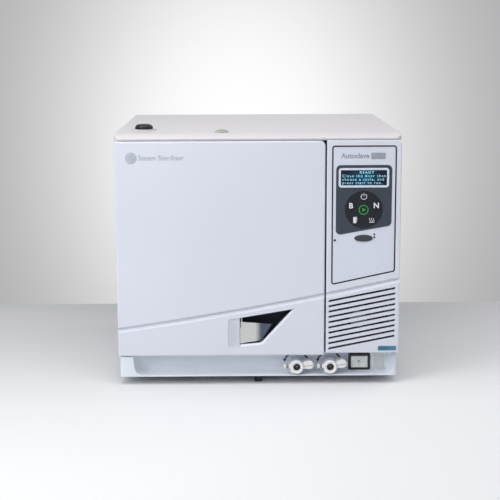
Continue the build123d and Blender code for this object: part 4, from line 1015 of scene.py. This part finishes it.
class AUTOCLAVE_OT_studio(bpy.types.Operator):
    """Builds the bench, the backdrop, the lights and the camera"""

    bl_idname = "autoclave.studio"
    bl_label = "Build Studio"

    def execute(self, context):
        """Sets the machine in a pale studio."""
        studio = context.scene.autoclave_studio
        self.surroundings()
        self.camera(studio)
        self.softbox("key_light", (-1.1, -1.25, 1.0), (-0.15, -0.2, 0.25), 0.9, 0.9, studio.key_power)
        self.softbox("top_light", (-0.1, -0.75, 2.0), (0.0, -0.2, 0.2), 2.0, 0.9, studio.top_power)
        self.softbox("rim_light", (1.5, 0.5, 1.3), (0.6, 0.0, 0.0), 1.0, 1.0, studio.rim_power)
        world = bpy.data.worlds.new("studio")
        world.use_nodes = True
        world.node_tree.nodes["Background"].inputs["Color"].default_value = (*WORLD_COLOUR, 1)
        world.node_tree.nodes["Background"].inputs["Strength"].default_value = WORLD_STRENGTH
        context.scene.world = world
        context.scene.view_settings.view_transform = "Standard"
        return {"FINISHED"}

    def surroundings(self):
        """Bench top, with a backdrop that stands behind its rear edge."""
        self.sheet("bench_top", [(-6.0, 0.0), (BENCH_REAR, 0.0)], self.paper())
        self.sheet("backdrop", [(BACKDROP_Y, -2.5), (BACKDROP_Y, 4.0)], self.glow_paper())

    def sheet(self, name, path, material):
        """A wide sheet along a line of (y, z) points."""
        reach = 6.0
        mesh = bpy.data.meshes.new(name)
        mesh.from_pydata([(x, y, z) for y, z in path for x in (-reach, reach)], [], [(0, 1, 3, 2)])
        sheet = bpy.data.objects.new(name, mesh)
        bpy.context.scene.collection.objects.link(sheet)
        sheet.data.materials.append(material)

    def paper(self):
        """Pale laminate with painted shade that darkens it towards the rear edge."""
        shader = Shader("Bench laminate")
        parts = shader.node("ShaderNodeSeparateXYZ")
        shader.join(shader.place, parts.inputs["Vector"])
        shade = shader.ramp(parts.outputs["Y"], 0.0, 1.0, BENCH_REAR, BENCH_NEAR)
        shader.join(shader.blend(shade, BENCH_BACK, BENCH_FRONT), shader.surface.inputs["Base Color"])
        shader.rough(0.55, 0.62, shader.noise(400.0, 3.0))
        return shader.material

    def glow_paper(self):
        """Backdrop whose paper emits a painted glow, brightest above the machine and falling off all round.
        """
        shader = Shader("Backdrop paper")
        squash = shader.node("ShaderNodeMapping")
        squash.inputs["Scale"].default_value = (1.0, 0.0, GLOW_SQUASH)
        shader.join(shader.place, squash.inputs["Vector"])
        away = shader.node("ShaderNodeVectorMath")
        away.operation = "DISTANCE"
        shader.join(squash.outputs["Vector"], away.inputs[0])
        away.inputs[1].default_value = (GLOW_X, 0.0, GLOW_Z * GLOW_SQUASH)
        ramp = shader.node("ShaderNodeValToRGB")
        bands = ramp.color_ramp
        bands.interpolation = "B_SPLINE"
        for place, level in GLOW_LEVELS[1:-1]:
            bands.elements.new(place)
        for band, (place, level) in zip(bands.elements, GLOW_LEVELS):
            band.position = place
            band.color = (level, level, level, 1)
        reach = shader.ramp(away.outputs["Value"], 0.0, 1.0, 0.0, GLOW_REACH)
        shader.join(reach, ramp.inputs["Fac"])
        shader.join(ramp.outputs["Color"], shader.surface.inputs["Emission Color"])
        shader.rough(0.90, 0.95, shader.noise(40.0, 2.0))
        shader.mottle((0.02, 0.02, 0.02), 0.05, shader.noise(30.0, 2.0))
        shader.set(Emission_Strength=1.0, Specular_IOR_Level=0.0)
        return shader.material

    def camera(self, studio):
        """Camera at a standing viewer's height."""
        data = bpy.data.cameras.new("view")
        data.lens = studio.lens
        data.clip_end = 50.0
        camera = bpy.data.objects.new("view", data)
        bpy.context.scene.collection.objects.link(camera)
        aim = Matrix.Rotation(-studio.turn, 4, "Z") @ Matrix.Rotation(math.pi / 2 - studio.tilt, 4, "X")
        camera.matrix_world = Matrix.Translation(studio.eye) @ aim @ Matrix.Rotation(studio.roll, 4, "Z")
        bpy.context.scene.camera = camera

    def softbox(self, name, place, target, width, height, power):
        """A rectangular light aimed at a point."""
        data = bpy.data.lights.new(name, "AREA")
        data.shape = "RECTANGLE"
        data.size = width
        data.size_y = height
        data.energy = power
        light = bpy.data.objects.new(name, data)
        bpy.context.scene.collection.objects.link(light)
        aim = (Vector(target) - Vector(place)).to_track_quat("-Z", "Y")
        light.matrix_world = Matrix.Translation(place) @ aim.to_matrix().to_4x4()


STEPS = (
    AUTOCLAVE_OT_covers,
    AUTOCLAVE_OT_front,
    AUTOCLAVE_OT_controls,
    AUTOCLAVE_OT_legends,
    AUTOCLAVE_OT_display,
    AUTOCLAVE_OT_valves,
    AUTOCLAVE_OT_switch,
    AUTOCLAVE_OT_top_fittings,
    AUTOCLAVE_OT_works,
    AUTOCLAVE_OT_screws,
    AUTOCLAVE_OT_studio,
)


class AUTOCLAVE_PT_finisher(bpy.types.Panel):
    """Panel with every step and setting"""

    bl_idname = "AUTOCLAVE_PT_finisher"
    bl_label = "Autoclave"
    bl_space_type = "VIEW_3D"
    bl_region_type = "UI"
    bl_category = "Autoclave"

    def draw(self, context):
        """Lists the steps, then the settings."""
        for step in STEPS:
            self.layout.operator(step.bl_idname)
        for group in settings(context):
            for name in group.__annotations__:
                self.layout.prop(group, name)


CLASSES = (AutoclaveColours, AutoclaveSizes, AutoclaveStudio, *STEPS, AUTOCLAVE_PT_finisher)


def register():
    """Registers the classes and the settings."""
    for item in CLASSES:
        bpy.utils.register_class(item)
    bpy.types.Scene.autoclave_colours = bpy.props.PointerProperty(type=AutoclaveColours)
    bpy.types.Scene.autoclave_sizes = bpy.props.PointerProperty(type=AutoclaveSizes)
    bpy.types.Scene.autoclave_studio = bpy.props.PointerProperty(type=AutoclaveStudio)


def unregister():
    """Removes the settings and the classes."""
    for name in ("autoclave_colours", "autoclave_sizes", "autoclave_studio"):
        delattr(bpy.types.Scene, name)
    for item in reversed(CLASSES):
        bpy.utils.unregister_class(item)


def main():
    """Runs every step."""
    register()
    for step in STEPS:
        group, name = step.bl_idname.split(".")
        getattr(getattr(bpy.ops, group), name)()


if __name__ == "__main__":
    main()
